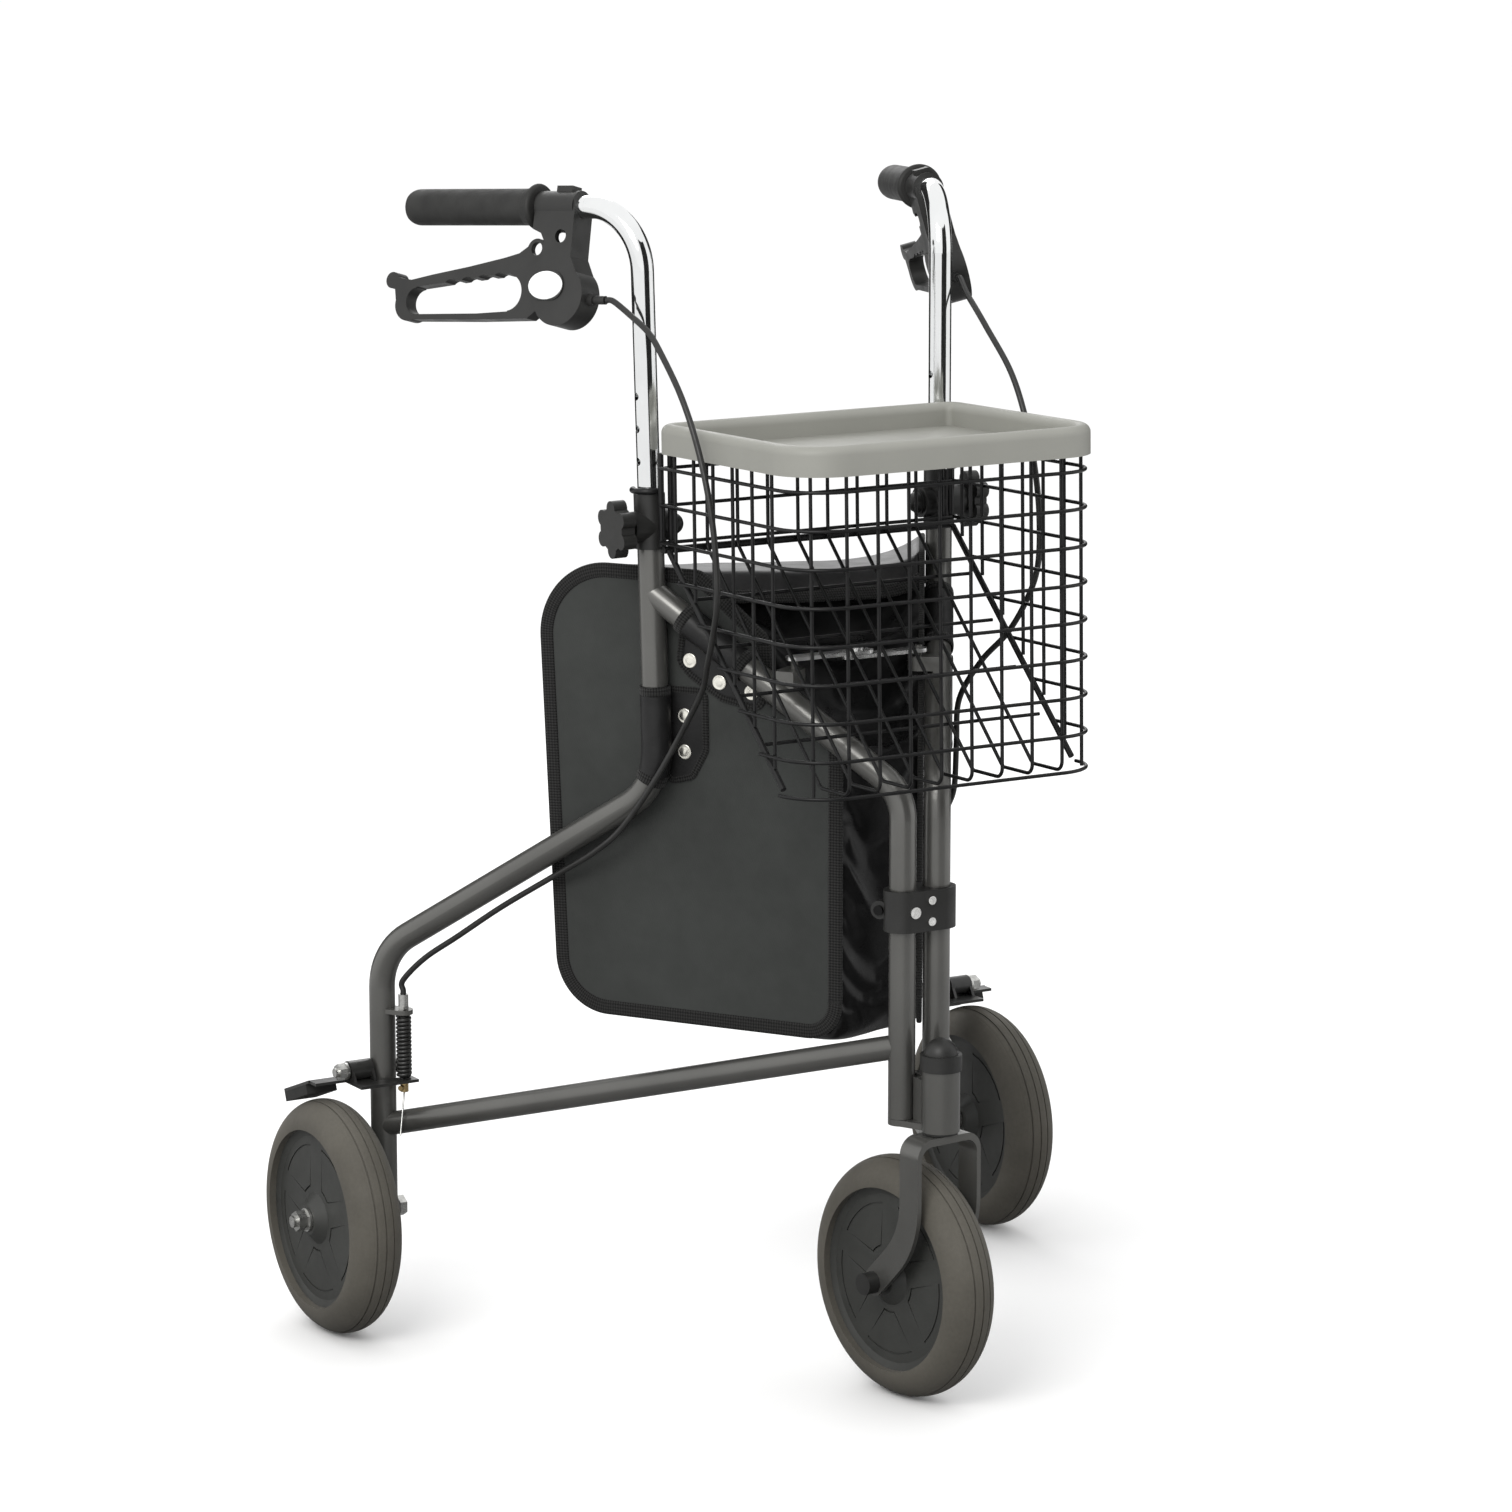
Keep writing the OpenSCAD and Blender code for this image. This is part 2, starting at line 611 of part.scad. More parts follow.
module rim_body() {
  difference() {
    rotate([0, 90, 0]) rotate_extrude()
      polygon([
        [axle_d / 2 + run, -hub_half], [13, -hub_half], [22, -16], [rim_d / 2 - 6, -15], [rim_d / 2, -17],
        [rim_d / 2, 17], [rim_d / 2 - 6, 15], [22, 16], [13, hub_half], [axle_d / 2 + run, hub_half]
      ]);
    for (x = [-1, 1], k = [0:4])
      translate([x * 15.4, 0, 0]) rotate([72 * k, 0, 0]) rotate([0, 90, 0])
        linear_extrude(2.4, center = true) difference() {
          petal(0);
          petal(1.6);
        }
  }
}
module tyre_body() {
  rotate([0, 90, 0]) rotate_extrude() difference() {
    translate([wheel_d / 2 - tyre_r, 0]) circle(r = tyre_r);
    translate([0, -tyre_r - 1]) square([rim_d / 2 + touch, 2 * tyre_r + 2]);
    for (a = [-20, 0, 20])
      translate([wheel_d / 2 - tyre_r, 0]) rotate([0, 0, a]) translate([tyre_r - 1, -0.6]) square([3, 1.2]);
  }
}
module front_rim() {
  color("darkslategray") on_fork() translate([0, caster_trail, axle_z]) rim_body();
}
module front_tyre() {
  color("gray") on_fork() translate([0, caster_trail, axle_z]) tyre_body();
}

// Side frames
module rear_tube(left) {
  color("dimgray") sided(left) difference() {
    on_frame() bent_tube(leg_path, frame_bend_r, tube_d, tube_wall);
    on_clamp() rod_x(bolt_d + 4 * run, -tube_d, tube_d);
    on_leg() translate([0, 0, axle_z]) rod_x(axle_d + 2 * touch, -tube_d, tube_d);
    on_leg() translate([0, 0, brake_pivot_z]) rod_x(brake_stud_d + 2 * touch, -tube_d, tube_d);
  }
}
module front_tube(left) {
  color("dimgray") sided(left) on_frame() difference() {
    bent_tube(front_path, front_bend_r, tube_d, tube_wall);
    translate([upright_reach, 0, upright_bend_z]) rotate([0, upright_lean, 0])
      cylinder(d = tube_d + 2 * touch, h = upright_l);
  }
}
module lower_tube(left) {
  color("dimgray") sided(left) on_frame() difference() {
    bent_tube([[0, lower_front_z], [leg_reach, lower_rear_z]], 1, lower_tube_d, tube_wall);
    translate([0, 0, lower_front_z - 50]) cylinder(d = tube_d + 2 * touch, h = 100);
    translate([leg_reach, 0, lower_rear_z - 50]) cylinder(d = tube_d + 2 * touch, h = 100);
  }
}
module lugs(left) {
  foot_z = front_bend_z + (brace_s - 9) * tan(diagonal_angle);
  color("dimgray") sided(left) on_frame() {
    difference() {
      translate([leg_reach - spring_reach, 0, cable_lug_z]) linear_extrude(lug_t) {
        circle(r = 8);
        translate([0, -8]) square([spring_reach, 16]);
      }
      translate([leg_reach, 0, cable_lug_z - 20]) cylinder(d = tube_d + 2 * touch, h = 40);
      translate([leg_reach - spring_reach, 0, cable_lug_z - 1]) cylinder(d = 6 + 2 * touch, h = lug_t + 2);
    }
    difference() {
      translate([brace_s, 0, 0]) {
        translate([-9, -brace_inset, brace_z - 2 * brace_t - 2 * clear - 12]) cube([18, brace_inset, 12]);
        translate([0, -brace_inset, brace_z - 2 * brace_t - 2 * clear - 12]) cylinder(d = 18, h = 12);
        translate([-9, -4, foot_z]) cube([18, 8, brace_z - 2 * brace_t - 2 * clear - foot_z]);
        translate([0, -brace_inset, brace_z - 2 * brace_t - 2 * clear - 6])
          cylinder(d = 6, h = 2 * brace_t + 2 * clear + 8);
      }
      translate([0, 0, front_bend_z]) rotate([0, 90 - diagonal_angle, 0])
        cylinder(d = tube_d + 2 * touch, h = diagonal_l);
    }
  }
}
module brake_stud(left) {
  color("silver") sided(left) on_leg() translate([0, 0, brake_pivot_z]) {
    rod_x(brake_stud_d, -46, 12);
    rod_x(15, -36.5, -34.5);
    translate([-36.6, 0, 0]) rotate([0, -90, 0]) cylinder(d = 15, h = 6.5, $fn = 6);
    translate([tube_r + touch, 0, 0]) rotate([0, 90, 0]) cylinder(d = 14, h = 5, $fn = 6);
  }
}
module axle(left) {
  color("silver") sided(left) on_leg() translate([0, 0, axle_z]) {
    rod_x(axle_d, -wheel_offset - hub_half - 15, 14);
    rod_x(16, -wheel_offset + hub_half + clear, -tube_r - touch);
    rod_x(20, -wheel_offset - hub_half - clear - 2, -wheel_offset - hub_half - clear);
    translate([-wheel_offset - hub_half - clear - 2, 0, 0]) rotate([0, -90, 0])
      cylinder(d = 18, h = 9, $fn = 6);
    translate([tube_r + touch, 0, 0]) rotate([0, 90, 0]) cylinder(d = 18, h = 6.5, $fn = 6);
  }
}
module rear_rim(left) {
  color("darkslategray") sided(left) on_leg() translate([-wheel_offset, 0, axle_z]) rim_body();
}
module rear_tyre(left) {
  color("gray") sided(left) on_leg() translate([-wheel_offset, 0, axle_z]) tyre_body();
}

// Height clamp and handle
module collar(left) {
  color("black") sided(left) {
    difference() {
      on_upright() translate([0, 0, upright_l - collar_length + collar_top]) difference() {
        cylinder(r = collar_r, h = collar_length);
        translate([0, 0, -1]) cylinder(r = tube_r + touch, h = collar_length - collar_top + 1 + touch);
        cylinder(d = handle_d + 2 * clear, h = collar_length + 2);
      }
      on_clamp() rod_x(bolt_d + 4 * run, -30, 30);
    }
    difference() {
      on_clamp() {
        rod_x(saddle_d, -saddle_out, 0);
        rod_x(saddle_d, 0, saddle_out);
      }
      on_upright() translate([0, 0, clamp_l - 40]) cylinder(r = collar_r + touch, h = 80);
      on_clamp() rod_x(bolt_d + 4 * run, -30, 30);
    }
  }
}
module clamp_bolt(left) {
  color("black") sided(left) on_clamp() {
    rod_x(bolt_d, -saddle_out - 3, -handle_d / 2 - clear - 0.1);
    rod_x(20, -saddle_out - 2, -saddle_out - touch);
    translate([-saddle_out - 1.5, 0, 0]) intersection() {
      sphere(r = 9);
      translate([-20, -20, -20]) cube([20, 40, 40]);
    }
  }
}
module knob(left) {
  color("black") sided(left) on_clamp() {
    rod_x(bolt_d, handle_d / 2 + clear + 0.1, saddle_out + 8);
    rod_x(20, saddle_out + clear, saddle_out + 6);
    translate([saddle_out + 5, 0, 0]) rotate([0, 90, 0]) {
      cylinder(d = knob_d - 12, h = 12);
      for (k = [0:5])
        rotate([0, 0, 60 * k]) translate([knob_d / 2 - 6.5, 0, 0]) cylinder(r = 6.5, h = 12);
    }
  }
}
module handle_tube(left) {
  color("gainsboro") sided(left) difference() {
    on_upright() rotate([0, 0, -handle_toe]) bent_tube(handle_path, handle_bend_r, handle_d, handle_wall);
    on_clamp() for (k = [-2:4]) translate([0, 0, k * hole_pitch]) rod_x(hole_d, -20, 20);
  }
}
module grip(left) {
  r = grip_d / 2;
  color("black") sided(left) on_handle() translate([grip_start, 0, 0]) rotate([0, 90, 0]) difference() {
    rotate_extrude() {
      square([r - 1, grip_length - 6]);
      translate([0, 9]) square([r, grip_length - 17]);
      polygon([[0, 5], [r + 2.6, 5], [r + 1, 9], [r - 0.5, 15], [0, 15]]);
      translate([0, grip_length - 8]) intersection() {
        circle(r = r);
        translate([0, -20]) square([20, 28]);
      }
      translate([grip_flange_d / 2 - 3, 3]) circle(r = 3);
      square([grip_flange_d / 2 - 3, 6]);
    }
    translate([0, 0, -1]) cylinder(d = handle_d + 2 * touch, h = handle_end - grip_start + 1 + touch);
  }
}
module housing_outline() {
  back = grip_start - 2.5;
  translate([66, -74]) circle(r = 25);
  polygon([
    [58, 4], [57, -42], [48, -58], [43, -66], [66, -74], [90, -80], [101, -66], [98, -52], [87, -45], [86, -30],
    [90, -23.5], [back, -20], [back, 4]
  ]);
}
module lever_housing(left) {
  w = lever_t + 2 * clear + 2 * cheek_t;
  gap = lever_t + 2 * clear;
  color("black") sided(left) {
    difference() {
      union() {
        on_handle() rod_x(handle_d + 7, 60, grip_start - 2);
        on_lever() rotate([90, 0, 0]) linear_extrude(w, center = true) housing_outline();
        on_lever() translate([67, -6, 10]) cube([16, 12, 6.5]);
        on_lever() translate([0, 0, ferrule_z]) rod_x(10, 36, 50);
        on_lever() translate([0, 0, ferrule_z]) rod_x(7, 25, 38);
      }
      on_handle() rod_x(handle_d + 2 * touch, 30, grip_start + 10);
      on_lever() rotate([90, 0, 0]) linear_extrude(gap, center = true) {
        translate([66, -74]) circle(r = 20);
        polygon([[63, -17], [62, -42], [54, -60], [47, -72], [66, -93], [120, -112], [120, -17]]);
      }
      on_lever() translate([69.5, 0, -25.7]) rod_y(11, 0, 30);
      on_lever() translate([83.5, -w, -30.8]) cube([3, w, 11.6]);
      on_lever() for (x = [83.5, 86.5]) translate([x, 0, -25]) rod_y(12, -30, 0);
      on_lever() translate([0, 0, ferrule_z]) rod_x(3, 10, 60);
    }
    on_lever() translate([lever_pivot[0], 0, lever_pivot[1]]) rod_y(6, -gap / 2 - 1, gap / 2 + 1);
    on_lever() translate([lever_pivot[0], 0, lever_pivot[1]])
      for (y = [-w / 2 - 1, w / 2 + touch])
        translate([0, y + 1 - touch, 0]) rotate([90, 0, 0]) linear_extrude(1 - touch) oval();
  }
}
module oval() {
  square([12, 24], center = true);
  for (x = [-6, 6]) translate([x, 0]) circle(d = 24);
}
module brake_lever(left) {
  color("black") sided(left) on_lever() rotate([90, 0, 0]) difference() {
    union() {
      linear_extrude(lever_t, center = true) polygon([
        lever_pivot, [88, -45], [92, -31], [105, -33], [114.6, -39.2], [129.1, -42.9], [165.8, -50.4],
        [203.1, -57], [226, -61.6], [237, -60.5], [246, -57], [250, -64], [243, -69], [239.5, -84], [232, -92],
        [224, -94.5], [153, -94], [99.6, -92.6], [82, -79]
      ]);
      for (c = [[lever_pivot[0], lever_pivot[1], 14], [97, -36.5, 9.5], [246.5, -62, 6.8], [226.5, -81.4, 14.4]])
        translate([c[0], c[1], 0]) cylinder(r = c[2], h = lever_t, center = true);
    }
    linear_extrude(lever_t + 2, center = true)
      polygon([[121, -56], [150, -58.5], [220, -67.5], [219, -90.2], [153, -89], [121, -87]]);
    for (c = [
      [lever_pivot[0], lever_pivot[1], 3 + run], [96.9, -35.3, 5.5], [123, -71.5, 15], [218.5, -79, 11]
    ])
      translate([c[0], c[1], 0]) cylinder(r = c[2], h = lever_t + 2, center = true);
    translate([96.9, -35.3, -lever_t / 2 + 5]) linear_extrude(lever_t) {
      circle(r = 6.5);
      translate([0, -5]) square([14, 16]);
    }
    for (x = [132, 149, 166, 183])
      translate([x, -64 - (x - 132) * 0.11, 0]) cylinder(r = 9, h = lever_t + 2, center = true);
  }
}

// Rear brake
module brake_cable(left) {
  color("black") sided(left) on_frame() swept_tube(smooth(cable_route, 3), cable_d, 8, [0, 1, 0]);
}
module adjuster(left) {
  color("silver") sided(left) on_spring() translate([0, 0, cable_lug_z]) difference() {
    union() {
      cylinder(d = 6, h = lug_t + 4);
      translate([0, 0, lug_t + touch]) cylinder(d = 10, h = 3, $fn = 6);
      translate([0, 0, lug_t + 3]) cylinder(d = 8.5, h = 10);
    }
    translate([0, 0, -1]) cylinder(d = 2, h = 20);
    translate([0, 0, lug_t + 9]) cylinder(d = cable_d + 0.6, h = 10);
  }
}
module brake_spring(left) {
  color("black") sided(left) on_spring() translate([0, 0, spring_bottom])
    swept_tube(spring_points(), spring_wire, 6, [1, 0, 0]);
}
module brake_arm(left) {
  sx = spring_reach * sin(open_angle);
  sy = -spring_reach * cos(open_angle);
  color("black") sided(left) difference() {
    union() {
      on_leg() translate([0, 0, arm_plate_z - arm_t]) {
        translate([-34, -27, 0]) cube([34 + sx, 14, arm_t]);
        translate([sx, -27, 0]) cube([9, 14, arm_t]);
        translate([-34, -27, 0]) cube([21.5, 43, arm_t]);
        translate([-wheel_offset - pad_w / 2 + 1, 3, 0]) cube([wheel_offset + pad_w / 2 - 13.5, 13, arm_t]);
      }
      on_leg() translate([0, 0, brake_pivot_z]) rod_x(17, -33.5, -tube_r - 1.5);
      for (x = [-15, -33.5])
        on_leg() translate([x, 0, 0]) rotate([90, 0, 90]) linear_extrude(2.5)
          polygon([
            [-14, arm_plate_z - 1], [-5, brake_pivot_z + 6], [5, brake_pivot_z + 6], [14, arm_plate_z - 1]
          ]);
      on_pad() translate([-pad_w / 2, pad_front, wheel_d / 2 + pad_gap + pad_t + touch])
        cube([pad_w, pad_rear - pad_front, arm_t]);
    }
    on_leg() translate([0, 0, brake_pivot_z]) rod_x(brake_stud_d + 2 * run, -60, 5);
    on_leg() translate([sx, sy, arm_plate_z - 10]) cylinder(d = 3.4, h = 20);
  }
}
module brake_pad(left) {
  color("black") sided(left) on_pad() translate([-pad_w / 2, pad_front + 6, wheel_d / 2 + pad_gap])
    cube([pad_w, pad_rear - pad_front - 6, pad_t]);
}
module cable_clamp(left) {
  color("gold") sided(left) on_spring() translate([0, 0, arm_plate_z - arm_t - touch]) {
    translate([0, 0, -9]) cylinder(d = 7, h = 9);
    translate([0, 0, -5]) rod_y(4.5, 0, 7);
    translate([0, 0, -8]) rotate([0, 0, 110]) rotate([0, 148, 0]) cylinder(d = 1.5, h = 40);
  }
}

// Fold brace
module brace_link(left) {
  half = tube_spacing / 2 + brace_s * sin(open_angle) - brace_inset * cos(open_angle);
  y = pivot_y + brace_s * cos(open_angle) + brace_inset * sin(open_angle);
  z = left ? brace_z - brace_t - clear : brace_z;
  color("gray") sided(left) translate([-half, y, z]) {
    difference() {
      linear_extrude(brace_t) {
        circle(d = brace_w);
        translate([0, -brace_w / 2]) square([half + 8, brace_w]);
        translate([half + 8, 0]) circle(d = brace_w);
      }
      translate([0, 0, -1]) cylinder(d = 6 + 2 * run, h = brace_t + 2);
    }
    if (!left) translate([half, 0, brace_t - touch]) cylinder(d = 11, h = 2.5);
  }
}

// Basket, in its own frame: back wires at y 0, rear bar at z 0, front towards -y
module hoop(z, from) {
  r = basket_corner_r;
  translate([0, 0, z]) {
    translate([0, -hoop_front, 0]) rod_x(wire_d, -hoop_x + r + touch, hoop_x - r - touch);
    for (left = [false, true])
      sided(left) {
        translate([hoop_x, 0, 0]) rod_y(wire_d, -hoop_front + r + touch, from);
        translate([hoop_x - r, -hoop_front + r, 0]) rotate([0, 0, 270])
          rotate_extrude(angle = 90) translate([r, 0]) circle(d = wire_d);
      }
  }
}
module front_wire(x) {
  translate([x, 0, 0]) rotate([0, 0, 90])
    bent_tube([
      [-back_wire, rail_low], [-back_wire, 0], [-slope_end, -floor_z],
      [-wire_front, -floor_z], [-wire_front, rail_low]
    ], 8, wire_d);
}
module side_wire(y) {
  over_slope = rail_d / 2 / cos(slope_angle) + 2 * touch;
  low = y < slope_start + rail_d ? 0 : (y - slope_start - wire_d / 2) * tan(slope_angle) - over_slope;
  translate([wire_x, -y, -low]) cylinder(d = wire_d, h = rail_low + low);
}
module basket_mesh() {
  corner_wire = basket_corner_r - wire_d - touch;
  wire_step = 2 * (hoop_x - basket_corner_r) / (front_wires - 1);
  color("black") on_basket() {
    for (k = [1:rows]) {
      z = basket_rise - k * mesh_pitch;
      hoop(z, z > 0 ? wire_d / 2 : z / tan(slope_angle) - slope_start + wire_d);
      if (z > bar_d) translate([0, 0, z]) rod_x(wire_d, -hoop_x + wire_d, hoop_x - wire_d);
    }
    hoop(-basket_drop + wire_d / 2, -slope_run + wire_d);
    for (k = [0:front_wires - 1]) front_wire((k - (front_wires - 1) / 2) * wire_step);
    for (left = [false, true])
      sided(left) {
        for (k = [0:floor((slope_run - 16) / mesh_pitch)]) side_wire(16 + k * mesh_pitch);
        translate([hoop_x - basket_corner_r, -hoop_front + basket_corner_r, -floor_z]) rotate([0, 0, -45])
          translate([corner_wire, 0, 0]) cylinder(d = wire_d, h = floor_z + rail_low);
      }
    for (k = [1:4])
      translate([0, -back_wire - k * (slope_end - back_wire) / 5, -k * floor_z / 5])
        rotate([floor_angle, 0, 0]) translate([0, 0, -wire_d - touch])
          rod_x(wire_d, -rail_x + rail_d, rail_x - rail_d);
  }
}
module basket_rails() {
  color("black") {
    on_basket() {
      translate([0, -rail_front / 2, basket_rise])
        around(2 * rail_x, rail_front, basket_corner_r - hoop_x + rail_x, rail_back_r, touch)
          circle(d = rail_d);
      translate([0, bar_y, 0]) rod_x(bar_d, -bar_half, bar_half);
      for (left = [false, true])
        sided(left) {
          translate([rail_x, -slope_start, 0]) rotate([slope_angle, 0, 0])
            rod_y(rail_d, -norm([slope_run, basket_drop]) + 8, -1);
          for (x = [0.5, 9.5])
            translate([hook_x - x, (wire_d + rail_d) / 2 + touch, bar_d / 2 + touch])
              cylinder(d = rail_d, h = tray_z - clear - bar_d / 2);
        }
    }
    for (left = [false, true])
      sided(left) on_upright() translate([0, 0, upright_l + collar_top + seat + rail_d / 2])
        for (k = [1:4])
          rotate([0, 0, 180 - open_angle - k * 34])
            rotate_extrude(angle = 34 - touch * 5) translate([hook_r, 0]) circle(d = rail_d);
  }
}
module tray() {
  depth = tray_front - tray_back;
  color("darkgray") on_basket() translate([0, -tray_back - depth / 2, tray_z]) {
    around(2 * tray_x, depth, tray_front_r, tray_back_r, 0) difference() {
      union() {
        translate([-rim_r, 0]) square([2 * rim_r, tray_rim_h - rim_r]);
        translate([0, tray_rim_h - rim_r]) circle(r = rim_r);
      }
      translate([-rim_r + tray_wall, -1]) square([2 * rim_r - 2 * tray_wall, tray_rim_h - rim_r + 1]);
      translate([0, tray_rim_h - rim_r]) circle(r = rim_r - tray_wall);
    }
    translate([0, 0, tray_rim_h - tray_well - tray_wall]) linear_extrude(tray_wall) {
      square([2 * (tray_x - tray_front_r), depth - 2 * rim_r + 1], center = true);
      translate([0, (tray_front_r - tray_back_r) / 2])
        square([2 * tray_x - 2 * rim_r + 1, depth - tray_front_r - tray_back_r], center = true);
      translate([-tray_x + tray_back_r, 0]) square([2 * (tray_x - tray_back_r), depth / 2 - rim_r + 0.5]);
      for (x = [-1, 1]) {
        translate([x * (tray_x - tray_front_r), -depth / 2 + tray_front_r])
          circle(r = tray_front_r - rim_r + 0.5);
        translate([x * (tray_x - tray_back_r), depth / 2 - tray_back_r])
          circle(r = tray_back_r - rim_r + 0.5);
      }
    }
  }
}

// Bag
module bag() {
  rear = upright_reach + bag_rear;
  x1 = tube_spacing / 2 + bag_front * sin(open_angle) - bag_inset * cos(open_angle);
  y1 = bag_front * cos(open_angle) + bag_inset * sin(open_angle);
  x2 = tube_spacing / 2 + rear * sin(open_angle) - bag_inset * cos(open_angle);
  y2 = rear * cos(open_angle) + bag_inset * sin(open_angle);
  brace_y = brace_s * cos(open_angle) + brace_inset * sin(open_angle) + brace_w / 2 + 8;
  color("black") translate([0, pivot_y, 0]) intersection() {
    translate([0, 0, bag_bottom_z - 1]) linear_extrude(bag_top_z - bag_bottom_z + 2)
      polygon([[-x1, y1], [x1, y1], [x2, y2], [-x2, y2]]);
    rotate([90, 0, 90]) linear_extrude(600, center = true) {
      translate([y2 - bag_top_r, bag_top_z - bag_top_r]) circle(r = bag_top_r);
      translate([y2 - bag_bottom_r, bag_bottom_z + bag_bottom_r]) circle(r = bag_bottom_r);
      polygon([
        [y1, bag_bottom_z], [y2 - bag_bottom_r, bag_bottom_z], [y2, bag_bottom_z + bag_bottom_r],
        [y2, bag_top_z - bag_top_r], [y2 - bag_top_r, bag_top_z], [brace_y + 45, bag_top_z],
        [brace_y, bag_top_z - 43], [brace_y, brace_z - 30], [y1, brace_z - 60]
      ]);
    }
  }
}
module flap_tab(points, r) {
  translate([0, -tube_r - touch + 0.4, 0]) rotate([90, 0, 0]) linear_extrude(flap_t) {
    polygon(points);
    for (p = points) translate(p) circle(r = r);
  }
}
module bag_flaps(left) {
  top = upright_bend_z + 84;
  low = upright_bend_z + 32;
  color("black") sided(left) on_frame() {
    difference() {
      union() {
        translate([upright_reach, 0, upright_bend_z]) rotate([0, upright_lean, 0])
          translate([0, 0, low - upright_bend_z]) cylinder(r = tube_r + touch + flap_t, h = top - low);
        flap_tab([
          [upright_s(low) - 34, low - 12], [upright_s(low) - 15, low - 14], [upright_s(low), low + 6],
          [upright_s(top), top - 6], [upright_s(low) - 34, top - 6]
        ], 6);
      }
      translate([upright_reach, 0, upright_bend_z]) rotate([0, upright_lean, 0])
        cylinder(r = tube_r + touch, h = 120);
    }
    difference() {
      union() {
        translate([0, 0, front_bend_z]) rotate([0, 90 - diagonal_angle, 0])
          translate([0, 0, diagonal_l - 104]) cylinder(r = tube_r + touch + flap_t, h = 70);
        flap_tab([
          diagonal_point(17, -36), diagonal_point(25, -42.7), diagonal_point(51, -42), diagonal_point(85, -26),
          diagonal_point(81, -2.5), diagonal_point(23, -2)
        ], 5);
      }
      translate([0, 0, front_bend_z]) rotate([0, 90 - diagonal_angle, 0])
        cylinder(r = tube_r + touch, h = diagonal_l);
    }
  }
  color("silver") sided(left) on_frame() translate([0, -tube_r, 0])
    for (p = [
      [upright_reach - 19, upright_bend_z + 59], [upright_reach - 19, upright_bend_z + 29],
      diagonal_point(24, -37.4), diagonal_point(51, -36), diagonal_point(80, -23.2)
    ])
      translate([p[0], 0, p[1]]) rod_y(stud_d, 0, 2);
}

head_tube();
head_cap();
fork_bushes();
hinge_block();
hinge_screws();
fork();
front_axle();
front_rim();
front_tyre();
basket_mesh();
basket_rails();
tray();
bag();
rear_tube(false);  // right_rear_tube
front_tube(false);  // right_front_tube
lower_tube(false);  // right_lower_tube
lugs(false);  // right_lugs
brake_stud(false);  // right_brake_stud
axle(false);  // right_axle
rear_rim(false);  // right_rim
rear_tyre(false);  // right_tyre
collar(false);  // right_collar
clamp_bolt(false);  // right_clamp_bolt
knob(false);  // right_knob
handle_tube(false);  // right_handle_tube
grip(false);  // right_grip
lever_housing(false);  // right_lever_housing
brake_lever(false);  // right_brake_lever
brake_cable(false);  // right_brake_cable
adjuster(false);  // right_adjuster
brake_spring(false);  // right_brake_spring
brake_arm(false);  // right_brake_arm
brake_pad(false);  // right_brake_pad
cable_clamp(false);  // right_cable_clamp
brace_link(false);  // right_brace_link
bag_flaps(false);  // right_bag_flaps
rear_tube(true);  // left_rear_tube
front_tube(true);  // left_front_tube
lower_tube(true);  // left_lower_tube
lugs(true);  // left_lugs
brake_stud(true);  // left_brake_stud
axle(true);  // left_axle
rear_rim(true);  // left_rim
rear_tyre(true);  // left_tyre
collar(true);  // left_collar
clamp_bolt(true);  // left_clamp_bolt
knob(true);  // left_knob
handle_tube(true);  // left_handle_tube
grip(true);  // left_grip
lever_housing(true);  // left_lever_housing
brake_lever(true);  // left_brake_lever
brake_cable(true);  // left_brake_cable
adjuster(true);  // left_adjuster
brake_spring(true);  // left_brake_spring
brake_arm(true);  // left_brake_arm
brake_pad(true);  // left_brake_pad
cable_clamp(true);  // left_cable_clamp
brace_link(true);  // left_brace_link
bag_flaps(true);  // left_bag_flaps
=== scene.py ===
import json
import math

import bpy
from bpy.props import FloatProperty, FloatVectorProperty, IntProperty, PointerProperty
from mathutils import Matrix, Vector, noise


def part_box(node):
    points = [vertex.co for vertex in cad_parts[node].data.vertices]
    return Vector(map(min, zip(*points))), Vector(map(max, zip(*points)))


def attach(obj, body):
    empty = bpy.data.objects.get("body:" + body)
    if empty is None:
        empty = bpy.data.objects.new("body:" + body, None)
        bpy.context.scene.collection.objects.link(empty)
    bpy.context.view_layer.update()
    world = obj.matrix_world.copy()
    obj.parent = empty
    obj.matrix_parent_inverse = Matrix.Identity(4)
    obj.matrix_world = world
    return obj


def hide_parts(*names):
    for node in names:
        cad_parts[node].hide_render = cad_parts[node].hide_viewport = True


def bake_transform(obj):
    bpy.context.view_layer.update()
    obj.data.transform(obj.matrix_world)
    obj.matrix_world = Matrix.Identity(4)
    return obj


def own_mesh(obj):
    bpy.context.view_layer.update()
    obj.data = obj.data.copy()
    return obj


bl_info = {
    "name": "Three wheel rollator",
    "version": (1, 0, 0),
    "blender": (4, 5, 0),
    "location": "View3D > Sidebar > Rollator",
    "description": "Dresses a folding three wheel rollator: finishes, bag, brake cables, springs, stage",
    "category": "Object",
}

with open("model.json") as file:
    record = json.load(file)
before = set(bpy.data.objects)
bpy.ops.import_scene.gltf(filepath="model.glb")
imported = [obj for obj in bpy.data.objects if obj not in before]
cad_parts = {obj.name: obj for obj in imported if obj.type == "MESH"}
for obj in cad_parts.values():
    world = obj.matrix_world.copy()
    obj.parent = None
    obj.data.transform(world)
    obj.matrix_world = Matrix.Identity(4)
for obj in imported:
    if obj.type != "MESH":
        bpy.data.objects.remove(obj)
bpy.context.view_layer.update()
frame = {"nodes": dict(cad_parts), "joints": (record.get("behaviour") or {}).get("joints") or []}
JOINTS = {j["name"]: j for j in frame["joints"]}
HINGE = Vector(JOINTS["right_fold"]["pos_m"])
OPEN = math.radians(32.6)
SIDES = (("right", False), ("left", True))
MM = 0.001

